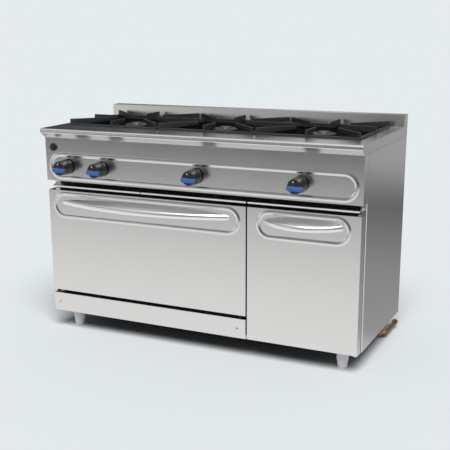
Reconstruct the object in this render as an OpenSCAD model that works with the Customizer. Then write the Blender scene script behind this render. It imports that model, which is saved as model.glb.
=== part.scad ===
// Stainless steel commercial gas range: three open burners with cast iron pan supports,
// over a gas oven with a drop-down door and a side-hinged cupboard.
// Origin: centre of the footprint, on the floor. +Z up, -Y towards the cook.
// Sizes called "from the left" are measured from the left side panel's outer face.

/* [Body] */
// Distance from the pan supports to the body's sides
hob_margin = 43; // [38:1:60]
// Depth from the door faces to the back of the body
body_d = 518; // [500:2:560]
// Height of the body, from its underside to the worktop
body_h = 695; // [690:5:740]
// Height of the body's underside above the floor
foot_h = 68; // [60:1:90]
// Thickness of the folded steel sheet
sheet_t = 1.5; // [1.2:0.1:2]
// Set-back of the carcass front behind the door faces
carcass_y = 45; // [44:1:50]
// Width of the folded flange on the side panels' front and rear edges
flange_w = 22; // [15:1:25]

/* [Worktop] */
// Height of the worktop's turned-down sides
skirt_h = 35; // [32:1:45]
// Overhang of the front nose past the door faces
nose_reach = 29; // [24:1:34]
// Height of the nose's upright face
nose_h = 18; // [16:1:22]
// Rounding of the nose's top edge
nose_r = 9; // [6:1:12]
// Rounding of the nose's lower edge
nose_low_r = 5; // [4:0.5:6]
// Depth of the pressed recess that the pan supports sit in
recess_h = 6; // [5:0.5:8]
// Distance from the door faces to the front of the pan supports
grid_front = 94; // [85:1:98]
// Depth of the upstand along the back
upstand_d = 45; // [40:1:50]
// Height of the upstand above the worktop
upstand_h = 42; // [35:1:60]
// Length of a flue slot in the upstand's top
flue_slot_l = 30; // [20:1:34]
// Width of a flue slot
flue_slot_w = 5; // [4:0.5:7]
// Spacing of the flue slots
flue_slot_pitch = 39; // [38:1:45]

/* [Pan supports and burners] */
// Width of one pan support
grid_w = 369; // [355:1:372]
// Depth of one pan support
grid_d = 353; // [345:1:357]
// Gap between neighbouring pan supports
grid_gap = 3.5; // [3:0.5:8]
// Width of a pan support's outer bar
bar_w = 14; // [12:1:16]
// Height of a pan support's outer bar
bar_h = 12; // [10:1:14]
// Height of the fins' tops above the worktop
fin_top = 23; // [18:1:26]
// Thickness of a fin
fin_t = 7; // [6:0.5:9]
// Height of a fin at its inner tip
fin_tip_h = 10; // [8:1:12]
// Radius of the open centre, to the tips of the straight fins
open_r = 86; // [76:1:92]
// Radius to the tips of the corner fins
corner_fin_r = 104; // [100:1:120]
// Height above the worktop that a pan support is lifted
grid_lift = 60; // [40:5:80]
// Width of the well opening in the worktop
well_w = 318; // [300:2:326]
// Depth of the well opening, front to back
well_d = 300; // [290:2:310]
// Corner radius of the well
well_r = 24; // [16:1:30]
// Depth of a spill tray below the recess
tray_h = 28; // [24:1:32]
// Radius of a burner's cap
cap_r = 44; // [38:1:48]
// Height of the raised centre of the cap above its rim
cap_crown_h = 4; // [3:0.5:5]
// Number of flame ports round a burner
port_count = 24; // [16:2:30]

/* [Control panel] */
// Height of the control panel
panel_h = 158; // [156:1:170]
// Height from the panel's lower edge to the knobs and the middle of the bead round them
bead_rise = 55.5; // [52:0.5:58]
// Radius of the bead's round ends, to its centre line
panel_bead_r = 42; // [38:1:42]
// Distance from the panel's ends to the bead's ends
panel_bead_inset = 12; // [10:1:20]
// Width of the pressed beads
bead_w = 19; // [16:1:20]
// Height of the pressed beads
bead_h = 2.4; // [1.8:0.2:3]
// Oven knob, from the left
oven_knob_x = 92.5; // [85:0.5:115]
// First burner knob, from the left
first_knob_x = 237.5; // [225:0.5:245]
// Spacing of the burner knobs
knob_pitch = 376.5; // [370:0.5:380]
// Radius of a knob at its base
knob_r = 28; // [25:1:30]
// Length of a knob, base to grip
knob_l = 57; // [48:1:57]
// Width of the grip bar across a knob's face
grip_w = 16; // [12:1:18]
// How far the grip bar stands out of the face
grip_proud = 6; // [4:1:8]
// Gap behind a knob, which its push takes up
knob_gap = 5; // [4.5:0.5:8]
// Travel of a knob when it is pushed in
knob_push = 4; // [3:0.5:4]
// Radius of the tap spindles
spindle_r = 4; // [3.5:0.25:5]
// Igniter button, from the left
igniter_x = 34.8; // [30:0.2:40]
// Igniter button above the panel's lower edge
igniter_rise = 123; // [118:1:130]
// Radius of the igniter's collar
igniter_r = 14; // [12:0.5:15]

/* [Doors] */
// Width of the oven's half of the body
oven_module_w = 802.3; // [790:1:820]
// Gap between the two doors
mid_gap = 5.4; // [4:0.2:8]
// Gap between the doors and the body's sides
edge_gap = 3.6; // [3:0.2:5]
// Height of the open band between the doors and the control panel
louvre_zone = 35; // [34:1:40]
// Height of a louvre's front lip
louvre_lip_h = 6; // [5:1:9]
// Height of the kick panel
kick_h = 70; // [66:1:76]
// Gap between the kick panel and the oven door
kick_gap = 13; // [13:0.5:16]
// Thickness of the doors
door_d = 40; // [38:0.5:40]
// Distance from a door's top to the middle of its bead
door_bead_drop = 54; // [53:1:60]
// Radius of a door bead's round ends
door_bead_r = 42.5; // [40:0.5:43]
// Distance from the oven door's edges to the bead's ends
oven_bead_inset = 17; // [14:1:28]
// Distance from the cupboard door's edges to the bead's ends
cup_bead_inset = 29.5; // [24:0.5:38]
// Length of the oven door's handle
oven_handle_l = 680; // [640:5:700]
// Length of the cupboard door's handle
cup_handle_l = 276; // [250:2:290]
// How far the handles bow out of the doors
handle_reach = 62; // [55:1:66]
// Height of a handle's bar
handle_h = 20; // [18:1:24]
// Thickness of a handle's bar
handle_t = 9; // [8:0.5:12]
// Radius of the hinge pins
pin_r = 3; // [2.5:0.25:3.25]

/* [Oven] */
// Room between the oven's cavity and each side of its half of the body
oven_side_room = 71.15; // [68:0.05:90]
// Height of the oven's cavity
cavity_h = 330; // [310:2:336]
// Room between the oven's cavity and the back of the body
oven_back_room = 65; // [62:1:90]
// Height of the oven's mouth above the bottom of its door
mouth_rise = 22; // [20:1:24]
// Thickness of the mineral wool round the oven
wool_t = 25; // [15:1:25]
// Height of the burner chamber under the sole plate
chamber_h = 35; // [34:1:45]
// Thickness of the cast iron sole plate
sole_t = 6; // [4:0.5:8]
// Radius of the oven burner's tube
oven_burner_r = 13; // [10:0.5:14]
// Height of the lowest shelf runner above the sole plate
first_runner = 45; // [40:1:60]
// Spacing of the shelf runners
runner_pitch = 70; // [55:1:75]

/* [Gas pipes and feet] */
// Radius of the gas inlet pipe
inlet_r = 7; // [6:0.5:7.5]
// Gas inlet pipe's run to the back, from the right side
inlet_x = 12; // [12:1:16]
// How far the gas inlet's thread stands out behind the body
inlet_reach = 14; // [10:1:20]
// Radius of the gas inlet's thread
thread_r = 8.3; // [8:0.1:10.5]
// Height of the gas inlet above the floor
inlet_z = 24; // [22:1:34]
// Radius of the feed pipes
feed_r = 5; // [4:0.5:5.5]
// Side of the square gas manifold
manifold_w = 22; // [20:1:26]
// Radius of a foot's fixed sleeve
sleeve_r = 20; // [18:0.5:22]
// Length of a foot's fixed sleeve
sleeve_h = 40; // [36:1:42]
// Radius of a foot at the floor
foot_r = 15.5; // [14:0.5:17]
// Distance from the body's sides to the feet
foot_inset = 70; // [60:1:80]
// Distance that a foot screws out
foot_travel = 20; // [10:1:20]

/* [Hidden] */
burner_ids = [0, 1, 2];
$fn = 48;

// Clearances
seat_gap = 0.3;      // between pieces that move apart
running_gap = 0.05;  // radial, of a pin in its bore
hole_gap = 2;        // radial, of a pipe in a hole
shelf_gap = 4;       // each side of what slides into the oven
eps = 0.1;           // overshoot of a cut
fold_r = 3.5;        // outer radius of a side panel's folds
bead_sink = 0.1;     // depth of a bead's edges under the face
bend_swell = 0.2;    // extra radius of a pipe's bend
bend_overlap = 1;    // length of a pipe's run inside its bend

// Colours
steel = "gainsboro";
dark_steel = "dimgray";
iron = "#2b2b2b";
enamel = "#1c1c1e";
brass = "goldenrod";
copper = "#b87333";

// Overall places
overall_w = len(burner_ids) * grid_w + (len(burner_ids) - 1) * grid_gap + 2 * hob_margin;
half_w = overall_w / 2;
knob_reach = knob_gap + knob_l;
front_reach = max(knob_reach, handle_reach, nose_reach);
front_y = (front_reach - body_d - inlet_reach) / 2;
top_z = foot_h + body_h;
panel_top_z = top_z - skirt_h;
panel_z = panel_top_z - panel_h;
door_top_z = panel_z - louvre_zone;
oven_door_z = foot_h + kick_h + kick_gap;
cup_door_z = foot_h + 0.8;
side_h = panel_top_z - foot_h;
inner_half_w = half_w - sheet_t;
inner_back_y = body_d - 2 * sheet_t;
rail_back_y = carcass_y + sheet_t;
fold_in = fold_r - sheet_t;
rail_lip = 16;
lip_notch = 30;
top_rail_z = door_top_z + 1;
cup_rail_h = 20;

// The line between oven and cupboard
split_x = oven_module_w - half_w;
mullion_w = 34;
oven_x0 = edge_gap - half_w;
oven_x1 = split_x - mid_gap / 2;
cup_x0 = split_x + mid_gap / 2;
cup_x1 = half_w - edge_gap;
oven_mid_x = (split_x - half_w) / 2;

// Oven cavity
cavity_w = oven_module_w - 2 * oven_side_room;
cavity_d = body_d - carcass_y - oven_back_room;
cavity_x0 = oven_mid_x - cavity_w / 2;
cavity_x1 = oven_mid_x + cavity_w / 2;
cavity_z0 = oven_door_z + mouth_rise;
cavity_z1 = cavity_z0 + cavity_h;
cavity_y1 = carcass_y + cavity_d;
wool_out = sheet_t + wool_t;
sole_z = cavity_z0 + chamber_h;
oven_burner_z = cavity_z0 + oven_burner_r + 4;
oven_burner_y = carcass_y + cavity_d / 2;
runner_inset = 12;
runner_r = 2.5;
upright_inset = 8;
shelf_frame_r = 3;
shelf_wire_r = 2;
shelf_wires = 17;
flue_neck_w = 100;
flue_neck_h = 30;
flue_drop = 20;
flue_w = 122;
flue_gap = 5.5;
flue_y0 = cavity_y1 + wool_out + flue_gap;
flue_y1 = inner_back_y - 2;

// Hob
grid_pitch = grid_w + grid_gap;
grid_y = grid_front + grid_d / 2;
recess_gap = 1;
recess_w = overall_w - 2 * (hob_margin - recess_gap);
recess_d = grid_d + 2 * recess_gap;
recess_r = 8;
recess_z = top_z - recess_h;
tray_flange = 8;
tray_z = recess_z - tray_h;
burner_neck_r = cap_r - 8;
burner_lip_r = cap_r - 2;
crown_z = tray_z + sheet_t;
crown_h = recess_h + tray_h - sheet_t - 14;
cap_z = crown_z + crown_h;
cap_rim_h = 9;
venturi_r = 12;
venturi_z = tray_z - 22;
venturi_front = grid_y - well_d / 2 + 28;
well_floor_hole_r = burner_neck_r + 1;

// Knobs, taps and manifold
knob_ids = [0, 1, 2, 3];
knob_z = panel_z + bead_rise;
tap_seat_r = 13;
tap_body_w = 28;
tap_body_y0 = 20;
tap_back_y = 64;
tap_bore_y = 46;
panel_hole_r = 8;
spindle_tip = 12;
flat_share = 0.7;
manifold_x0 = oven_knob_x - 30 - half_w;
riser_x = half_w - 32;
manifold_x1 = riser_x - 17;
manifold_y = tap_back_y + manifold_w / 2;
inlet_bend_r = 12;
riser_room = 133;
feed_bend_r = 14;
feed_drop = 18;
riser_y = body_d - riser_room;
hex_l = 10;
union_y = body_d + inlet_reach - hex_l;

// Doors and hinges
pivot_y = 6;
pivot_drop = 5;
oven_pivot_z = oven_door_z - pivot_drop;
eye_r = 4.5;
eye_w = 6;
eye_inset = 14;
hinge_gap = 1;
oven_pin_r = 2.5;
cup_pivot_x = cup_x1 - 7.4;
cup_pivot_y = 8;
cup_arm_t = 3;
cup_arm_w = 14;
seal_w = 12;
seal_in = 4;
emboss_h = 4;
emboss_inset = 12;
handle_drop = door_bead_drop - 10 - handle_h / 2;

// Feet
foot_y0 = carcass_y + 17;
foot_y1 = body_d - 45;
foot_flange_r = 24;
foot_flange_t = 3;
foot_spindle_r = 8;
foot_spindle_l = 30;
sleeve_z = foot_h - sleeve_h;

function burner_x(i) = (i - 1) * grid_pitch;
function knob_x(i) = (i == 0 ? oven_knob_x : first_knob_x + (i - 1) * knob_pitch) - half_w;
function bow_radius(chord, rise) = (chord * chord / 4 + rise * rise) / (2 * rise);
function unit(v) = v / norm(v);

// ---- Helpers: y = 0 is the plane of the door faces ----

module from_front() {
    translate([0, front_y, 0]) children();
}

module block(lo, hi) {
    translate(lo) cube(hi - lo);
}

// Open box of sheet; open_face is "back", "front", "top" or "bottom"
module sheet_box(lo, hi, open_face) {
    t = [sheet_t, sheet_t, sheet_t];
    over = 2 * sheet_t;
    below = open_face == "front" ? [0, over, 0] : open_face == "bottom" ? [0, 0, over] : [0, 0, 0];
    above = open_face == "back" ? [0, over, 0] : open_face == "top" ? [0, 0, over] : [0, 0, 0];
    cut_lo = lo + t - below;
    cut_hi = hi - t + above;
    difference() {
        block(lo, hi);
        block(cut_lo, cut_hi);
    }
}

module rounded_rect(w, d, r) {
    square([w - 2 * r, d], center = true);
    square([w, d - 2 * r], center = true);
    for (x = [-1, 1], y = [-1, 1])
        translate([x * (w / 2 - r), y * (d / 2 - r)]) circle(r);
}

module rounded_block(w, d, h, r) {
    linear_extrude(h) rounded_rect(w, d, r);
}

module slot(l, w) {
    square([l - w, w], center = true);
    for (x = [-1, 1]) translate([x * (l - w) / 2, 0]) circle(w / 2);
}

// Cylinder along +Y from its start
module along_y(start, l, r) {
    translate(start) rotate([-90, 0, 0]) cylinder(h = l, r = r);
}

// Cylinder along +X from its start
module along_x(start, l, r) {
    translate(start) rotate([0, 90, 0]) cylinder(h = l, r = r);
}

// Round pipe through a list of points, with bends of one radius. The bends are a touch fuller
// than the runs, as bent tube is, and the runs end inside them.
module bent_pipe(pts, r, bend) {
    last = len(pts) - 1;
    for (i = [0:last - 1]) {
        d = unit(pts[i + 1] - pts[i]);
        from = i == 0 ? 0 : bend_trim(pts, i, bend) - bend_overlap;
        short = i == last - 1 ? 0 : bend_trim(pts, i + 1, bend) - bend_overlap;
        upto = norm(pts[i + 1] - pts[i]) - short;
        pipe_run(pts[i] + from * d, pts[i] + upto * d, r);
    }
    for (i = [1:last - 1]) pipe_bend(pts[i - 1], pts[i], pts[i + 1], r, bend);
}

function turn_angle(pts, i) = acos(unit(pts[i] - pts[i - 1]) * unit(pts[i + 1] - pts[i]));
function bend_trim(pts, i, bend) = bend * tan(turn_angle(pts, i) / 2);

module pipe_run(a, b, r) {
    d = b - a;
    translate(a)
        rotate([0, acos(d[2] / norm(d)), atan2(d[1], d[0])])
            cylinder(h = norm(d), r = r);
}

module pipe_bend(a, corner, b, r, bend) {
    into = unit(corner - a);
    out = unit(b - corner);
    angle = acos(into * out);
    axis = unit(cross(into, out));
    side = cross(axis, into);
    centre = corner - into * bend * tan(angle / 2) + side * bend;
    multmatrix([
        [-side[0], into[0], axis[0], centre[0]],
        [-side[1], into[1], axis[1], centre[1]],
        [-side[2], into[2], axis[2], centre[2]],
        [0, 0, 0, 1],
    ]) rotate_extrude(angle = angle) translate([bend, 0]) circle(r + bend_swell);
}

// Pressed bead in section: a rounded crest that runs out in a hollow on each side, all four
// arcs of one radius
module bead_section() {
    quarter = bead_w / 4;
    rise = bead_h + bead_sink;
    arc_r = (4 * quarter * quarter + rise * rise) / (4 * rise);
    depth = sheet_t / 2;
    translate([0, -bead_sink]) {
        intersection() {
            translate([0, rise - arc_r]) circle(arc_r, $fn = 96);
            translate([-quarter, -depth]) square([2 * quarter, rise + depth]);
        }
        for (s = [-1, 1]) difference() {
            translate([s * 1.5 * quarter - quarter / 2, -depth]) square([quarter, rise / 2 + depth]);
            translate([s * 2 * quarter, arc_r]) circle(arc_r, $fn = 96);
        }
    }
}

// Bead in the shape of a stadium, facing the cook; mid is its centre on the panel's face
module stadium_bead(mid, length, r) {
    straight = length - 2 * r - bead_w;
    translate(mid) rotate([90, 0, 0]) for (s = [-1, 1]) {
        translate([-straight / 2, s * r, 0]) rotate([90, 0, 90])
            linear_extrude(straight) bead_section();
        translate([s * straight / 2, 0, 0]) rotate([0, 0, -90 * s])
            rotate_extrude(angle = 180) translate([r, 0]) bead_section();
    }
}

// ---- Carcass ----

// Plan of a sheet with flanges folded in at the front and the back, its corners rounded
module folded_plan(inset, r) {
    d = body_d - carcass_y - 2 * inset;
    translate([inset + r, carcass_y + inset]) square([flange_w, d]);
    translate([inset, carcass_y + inset + r]) square([flange_w, d - 2 * r]);
    for (y = [carcass_y + inset + r, body_d - inset - r]) translate([inset + r, y]) circle(r);
}

// Left side panel
module side_panel() {
    translate([-half_w, 0, foot_h]) linear_extrude(side_h) intersection() {
        difference() {
            folded_plan(0, fold_r);
            folded_plan(sheet_t, fold_r - sheet_t);
        }
        square([flange_w, body_d]);
    }
}

module side_panel_left() {
    color(steel) from_front() side_panel();
}

module side_panel_right() {
    color(steel) from_front() mirror([1, 0, 0]) side_panel();
}

// Back: a sheet with two groups of vent slots
module rear_panel() {
    vent_w = 90;
    vent_h = 6;
    vent_pitch = 16;
    vent_rows = 6;
    color(steel) from_front() difference() {
        block([fold_in - inner_half_w, inner_back_y, foot_h + sheet_t],
            [inner_half_w - fold_in, body_d - sheet_t, panel_top_z]);
        for (x = [-0.6, -0.2, 0.2, 0.6], i = [0:vent_rows - 1])
            translate([x * half_w, inner_back_y - eps, panel_z + 30 + i * vent_pitch])
                rotate([-90, 0, 0]) linear_extrude(sheet_t + 2 * eps) slot(vent_w, vent_h);
    }
}

module riser_hole(z) {
    translate([riser_x, riser_y, z - eps]) cylinder(h = sheet_t + 2 * eps, r = inlet_r + hole_gap);
}

// Floor of the body, with air slots under the oven and a hole for the gas pipe
module base_panel() {
    air_l = 60;
    air_w = 8;
    color(steel) from_front() difference() {
        block([-inner_half_w, rail_back_y + fold_in, foot_h],
            [inner_half_w, inner_back_y, foot_h + sheet_t]);
        riser_hole(foot_h);
        for (i = [-3:3], y = [0.35, 0.65])
            translate([oven_mid_x + i * 90, y * body_d, foot_h - eps])
                linear_extrude(sheet_t + 2 * eps) rotate(90) slot(air_l, air_w);
    }
}

// Divider between oven and cupboard, folded over into the cupboard's ceiling
module partition() {
    ceiling_z = door_top_z + 12;
    color(steel) from_front() {
        block([split_x, rail_back_y, foot_h + sheet_t], [split_x + sheet_t, inner_back_y, ceiling_z]);
        difference() {
            block([split_x, rail_back_y + fold_in, ceiling_z - sheet_t],
                [inner_half_w, inner_back_y, ceiling_z]);
            riser_hole(ceiling_z - sheet_t);
        }
    }
}

// Upright between the two doors
module mullion() {
    color(dark_steel) from_front()
        block([split_x - mullion_w / 2, carcass_y, foot_h],
            [split_x + mullion_w / 2, rail_back_y, top_rail_z]);
}

// Rails across the front of the carcass: above the doors, under the oven and under the cupboard
module cross_rails() {
    x = half_w - flange_w;
    color(dark_steel) from_front() {
        block([-x, carcass_y, top_rail_z], [x, rail_back_y, panel_z]);
        block([-x + lip_notch, carcass_y, panel_z - sheet_t],
            [x, rail_back_y + rail_lip, panel_z]);
        block([-x, carcass_y, foot_h], [split_x - mullion_w / 2, rail_back_y, oven_door_z]);
        block([split_x + mullion_w / 2, carcass_y, foot_h], [x, rail_back_y, foot_h + cup_rail_h]);
    }
}

// ---- Worktop ----

// Point where a line from a place touches the far side of a circle
function touch_point(from, centre, r) = let (
    d = centre - from,
    a = atan2(d[1], d[0]) + asin(r / norm(d)),
    l = sqrt(d * d - r * r)
) from + l * [cos(a), sin(a)];

// Outline of the front nose, seen from the side: rounded above and below, with a bevel back to
// the panel; inset gives its inner face
module nose_section(inset) {
    back = 20 + (inset > 0 ? eps : 0);
    nose_y = inset - nose_reach;
    upper = [nose_r - nose_reach, top_z - nose_r];
    lower = [nose_low_r - nose_reach, top_z - nose_h + nose_low_r];
    foot = [inset, panel_top_z + inset];
    polygon([
        [nose_y, upper[1]], [nose_y, lower[1]], touch_point(foot, lower, nose_low_r - inset),
        foot, [back, panel_top_z + inset], [back, top_z - inset], [upper[0], top_z - inset], upper,
    ]);
    translate(upper) circle(nose_r - inset);
    translate(lower) circle(nose_low_r - inset);
}

// The section runs in Y and Z and is pushed along X
module along_width(x, w) {
    translate([x, 0, 0]) rotate([90, 0, 90]) linear_extrude(w) children();
}

// Pressed top with a rounded nose, a shallow recess and three well openings
module worktop() {
    color(steel) from_front() difference() {
        union() {
            along_width(-half_w, overall_w) difference() {
                nose_section(0);
                nose_section(sheet_t);
            }
            for (x = [-half_w, half_w - sheet_t]) {
                along_width(x, sheet_t) nose_section(0);
                block([x, 0, panel_top_z], [x + sheet_t, body_d, top_z]);
            }
            block([-half_w, body_d - sheet_t, panel_top_z], [half_w, body_d, top_z]);
            block([-half_w, 0, top_z - sheet_t], [half_w, body_d, top_z]);
            translate([0, grid_y, recess_z - sheet_t])
                rounded_block(recess_w + 2 * sheet_t, recess_d + 2 * sheet_t, recess_h, recess_r + sheet_t);
        }
        translate([0, grid_y, recess_z])
            rounded_block(recess_w, recess_d, recess_h + eps, recess_r);
        for (i = burner_ids) translate([burner_x(i), grid_y, recess_z - sheet_t - eps])
            rounded_block(well_w, well_d, sheet_t + 2 * eps, well_r);
        translate([oven_mid_x, (flue_y0 + flue_y1) / 2, top_z - sheet_t - eps])
            rounded_block(flue_w + 2, flue_y1 - flue_y0 + 4, sheet_t + 2 * eps, 2);
    }
}

// Upstand along the back: a box open below, with flue slots along its top
module upstand() {
    y0 = body_d - upstand_d;
    slots = floor((overall_w - 100) / flue_slot_pitch);
    slot_z = top_z + upstand_h - sheet_t - eps;
    color(steel) from_front() difference() {
        sheet_box([-half_w, y0, top_z], [half_w, body_d, top_z + upstand_h], "bottom");
        for (i = [0:slots - 1])
            translate([(i - (slots - 1) / 2) * flue_slot_pitch, body_d - upstand_d / 2, slot_z])
                linear_extrude(sheet_t + 2 * eps) slot(flue_slot_l, flue_slot_w);
    }
}

// Enamelled tray that hangs in a well by its flange, with a turned-up hole for the burner
module spill_tray() {
    wall = 1;
    gap = 2;
    difference() {
        union() {
            translate([0, 0, recess_z])
                rounded_block(well_w + 2 * tray_flange, well_d + 2 * tray_flange, wall, well_r + tray_flange);
            translate([0, 0, tray_z]) rounded_block(well_w - gap, well_d - gap, tray_h, well_r - gap / 2);
        }
        translate([0, 0, tray_z + sheet_t])
            rounded_block(well_w - gap - 2 * wall, well_d - gap - 2 * wall, tray_h, well_r - gap / 2 - wall);
        translate([0, 0, tray_z - eps]) cylinder(h = sheet_t + 2 * eps, r = well_floor_hole_r);
    }
}

module spill_trays() {
    color(enamel) from_front() for (i = burner_ids) translate([burner_x(i), grid_y, 0]) spill_tray();
}

// ---- Burners and pan supports ----

// Cast burner: crown with flame ports, lip that rests in the tray, mixing tube to the front
module burner_body() {
    lip_h = 4;
    port_w = 3;
    port_h = 6;
    mouth_r = venturi_r + 4;
    mouth_l = 14;
    run = grid_y - venturi_front;
    difference() {
        union() {
            translate([0, 0, crown_z]) cylinder(h = lip_h, r = burner_lip_r);
            translate([0, 0, crown_z]) cylinder(h = crown_h, r = burner_neck_r);
            translate([0, 0, venturi_z]) cylinder(h = crown_z - venturi_z, r = venturi_r + 6);
            along_y([0, -run, venturi_z], run, venturi_r);
            along_y([0, -run, venturi_z], mouth_l, mouth_r);
        }
        along_y([0, -run - eps, venturi_z], run, venturi_r - 4);
        for (i = [0:port_count - 1]) rotate(i * 360 / port_count)
            translate([burner_neck_r - 4, -port_w / 2, cap_z - port_h]) cube([6, port_w, port_h + eps]);
    }
}

module burner_bodies() {
    color("silver") from_front() for (i = burner_ids) translate([burner_x(i), grid_y, 0]) burner_body();
}

// Loose cap with a raised middle
module burner_cap(i) {
    crown_r = cap_r / 2;
    color("silver") from_front() translate([burner_x(i), grid_y, cap_z]) rotate_extrude() polygon([
        [0, 0], [cap_r - 2, 0], [cap_r, 2], [cap_r, cap_rim_h - 4], [cap_r - 4, cap_rim_h - 1],
        [crown_r + 2, cap_rim_h], [crown_r, cap_rim_h + cap_crown_h - 1],
        [crown_r - 2, cap_rim_h + cap_crown_h], [0, cap_rim_h + cap_crown_h],
    ]);
}

module burner_cap_left() { burner_cap(0); }
module burner_cap_middle() { burner_cap(1); }
module burner_cap_right() { burner_cap(2); }

// Fin from the outer bar to its tip: level on top, rising underneath towards the burner
module fin(tip_r, end_r) {
    root_z = bar_h - recess_h - 2;
    rotate([90, 0, 0]) translate([0, 0, -fin_t / 2]) linear_extrude(fin_t) polygon([
        [tip_r, fin_top], [end_r, fin_top], [end_r, root_z - 3],
        [end_r - bar_w, root_z - 3], [tip_r, fin_top - fin_tip_h],
    ]);
}

// Cast iron pan support: a low square frame with straight fins and corner fins
module pan_support(i) {
    frame_r = 5;
    corner_a = atan2(grid_d, grid_w);
    corner_end = norm([grid_w, grid_d]) / 2 - frame_r;
    color(iron) from_front() translate([burner_x(i), grid_y, top_z]) {
        translate([0, 0, -recess_h]) linear_extrude(bar_h) difference() {
            rounded_rect(grid_w, grid_d, frame_r);
            rounded_rect(grid_w - 2 * bar_w, grid_d - 2 * bar_w, frame_r);
        }
        for (a = [0, 180]) rotate(a) fin(open_r, grid_w / 2);
        for (a = [90, 270]) rotate(a) fin(open_r, grid_d / 2);
        for (side = [0, 1], a = [-corner_a, corner_a]) mirror([side, 0, 0])
            rotate(a) fin(corner_fin_r, corner_end);
    }
}

module pan_support_left() { pan_support(0); }
module pan_support_middle() { pan_support(1); }
module pan_support_right() { pan_support(2); }

// ---- Control panel ----

module control_panel() {
    bead_l = overall_w - 2 * panel_bead_inset;
    color(steel) from_front() difference() {
        union() {
            block([-half_w, 0, panel_z], [half_w, sheet_t, panel_top_z]);
            for (x = [-half_w, half_w - sheet_t])
                block([x, 0, panel_z], [x + sheet_t, carcass_y, panel_top_z]);
            block([-half_w, 0, panel_z], [half_w, carcass_y, panel_z + sheet_t]);
            stadium_bead([0, 0, knob_z], bead_l, panel_bead_r);
        }
        for (i = knob_ids) along_y([knob_x(i), -eps, knob_z], sheet_t + 2 * eps, panel_hole_r);
        along_y([igniter_x - half_w, -eps, panel_z + igniter_rise], sheet_t + 2 * eps, igniter_r - 4);
    }
}

// Three folded blades in line across the open band above the doors, each with a front lip that
// leans a little forward
module louvre_blades() {
    ends = [[flange_w, oven_module_w / 2 - 10], [oven_module_w / 2 - 6, oven_module_w - 3],
            [oven_module_w + 3, overall_w - flange_w / 2]];
    lip_y = 2;
    lean = 1;
    lip_z = door_top_z + 11;
    top = lip_z + louvre_lip_h;
    back_z = top + 11;
    color(steel) from_front() for (e = ends)
        along_width(e[0] - half_w, e[1] - e[0]) polygon([
            [lip_y + lean, lip_z], [lip_y + lean + sheet_t, lip_z], [lip_y + sheet_t, top - sheet_t / 2],
            [carcass_y, back_z - sheet_t], [carcass_y, back_z], [lip_y, top],
        ]);
}

// Panel under the oven door, a tray of sheet open at the back
module kick_panel() {
    color(steel) from_front() difference() {
        sheet_box([oven_x0, 0, foot_h], [oven_x1, carcass_y, foot_h + kick_h], "back");
        for (x = kick_screw_x) along_y([x, -eps, foot_h + kick_h / 2], sheet_t + 2 * eps, 2);
    }
}

screw_inset = 29.3;
kick_screw_x = [screw_inset - half_w, split_x - screw_inset - 5];
rear_screw_inset = 12;

// Pan-head screws of the kick panel and the back
module panel_screws() {
    head_r = 4;
    head_h = 2;
    rear_z = [foot_h + 60, (foot_h + panel_top_z) / 2, panel_top_z - 40];
    color("silver") from_front() {
        for (x = kick_screw_x) {
            along_y([x, -head_h, foot_h + kick_h / 2], head_h, head_r);
            along_y([x, -head_h, foot_h + kick_h / 2], head_h + sheet_t + 3, 2);
        }
        for (s = [-1, 1], z = rear_z)
            along_y([s * (half_w - rear_screw_inset), body_d, z], 0.8, head_r);
    }
}

// ---- Oven ----

// Cavity of enamelled sheet with a face round its mouth and ledges for the sole plate
module oven_liner() {
    ledge = 10;
    gas_hole_r = feed_r + hole_gap;
    color(enamel) from_front() difference() {
        union() {
            sheet_box([cavity_x0 - sheet_t, carcass_y - sheet_t, cavity_z0 - sheet_t],
                [cavity_x1 + sheet_t, cavity_y1 + sheet_t, cavity_z1 + sheet_t], "front");
            difference() {
                block([flange_w - half_w, carcass_y, oven_door_z],
                    [split_x - mullion_w / 2, rail_back_y, top_rail_z]);
                block([cavity_x0, 0, cavity_z0], [cavity_x1, body_d, cavity_z1]);
            }
            for (x = [cavity_x0, cavity_x1 - ledge])
                block([x, rail_back_y + 10, sole_z - 2], [x + ledge, cavity_y1, sole_z]);
        }
        block([-half_w, carcass_y - 2 * sheet_t, foot_h], [split_x, carcass_y, top_z]);
        along_x([cavity_x0 - 2 * sheet_t, oven_burner_y, oven_burner_z], 4 * sheet_t, gas_hole_r);
        block([oven_mid_x - flue_neck_w / 2, cavity_y1 - sheet_t, cavity_z1 - flue_drop - flue_neck_h],
            [oven_mid_x + flue_neck_w / 2, cavity_y1 + 2 * sheet_t, cavity_z1 - flue_drop]);
    }
}

// Mineral wool jacket round the cavity
module oven_insulation() {
    color("khaki") from_front() difference() {
        block([cavity_x0 - wool_out, rail_back_y, cavity_z0 - wool_out],
            [cavity_x1 + wool_out, cavity_y1 + wool_out, cavity_z1 + wool_out]);
        block([cavity_x0 - sheet_t, 0, cavity_z0 - sheet_t],
            [cavity_x1 + sheet_t, cavity_y1 + sheet_t, cavity_z1 + sheet_t]);
        along_x([cavity_x0 - wool_out - eps, oven_burner_y, oven_burner_z],
            wool_t + 1, feed_r + hole_gap);
        block([oven_mid_x - flue_neck_w / 2 - 2, cavity_y1, cavity_z1 - flue_drop - flue_neck_h - 2],
            [oven_mid_x + flue_neck_w / 2 + 2, body_d, cavity_z1 - flue_drop + 2]);
    }
}

// Soft seal on the oven's face, round the mouth
module door_seal() {
    outer = seal_in + seal_w;
    color("dimgray") from_front() difference() {
        block([cavity_x0 - outer, door_d + seat_gap, cavity_z0 - outer],
            [cavity_x1 + outer, carcass_y, cavity_z1 + outer]);
        block([cavity_x0 - seal_in, 0, cavity_z0 - seal_in],
            [cavity_x1 + seal_in, body_d, cavity_z1 + seal_in]);
    }
}

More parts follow.
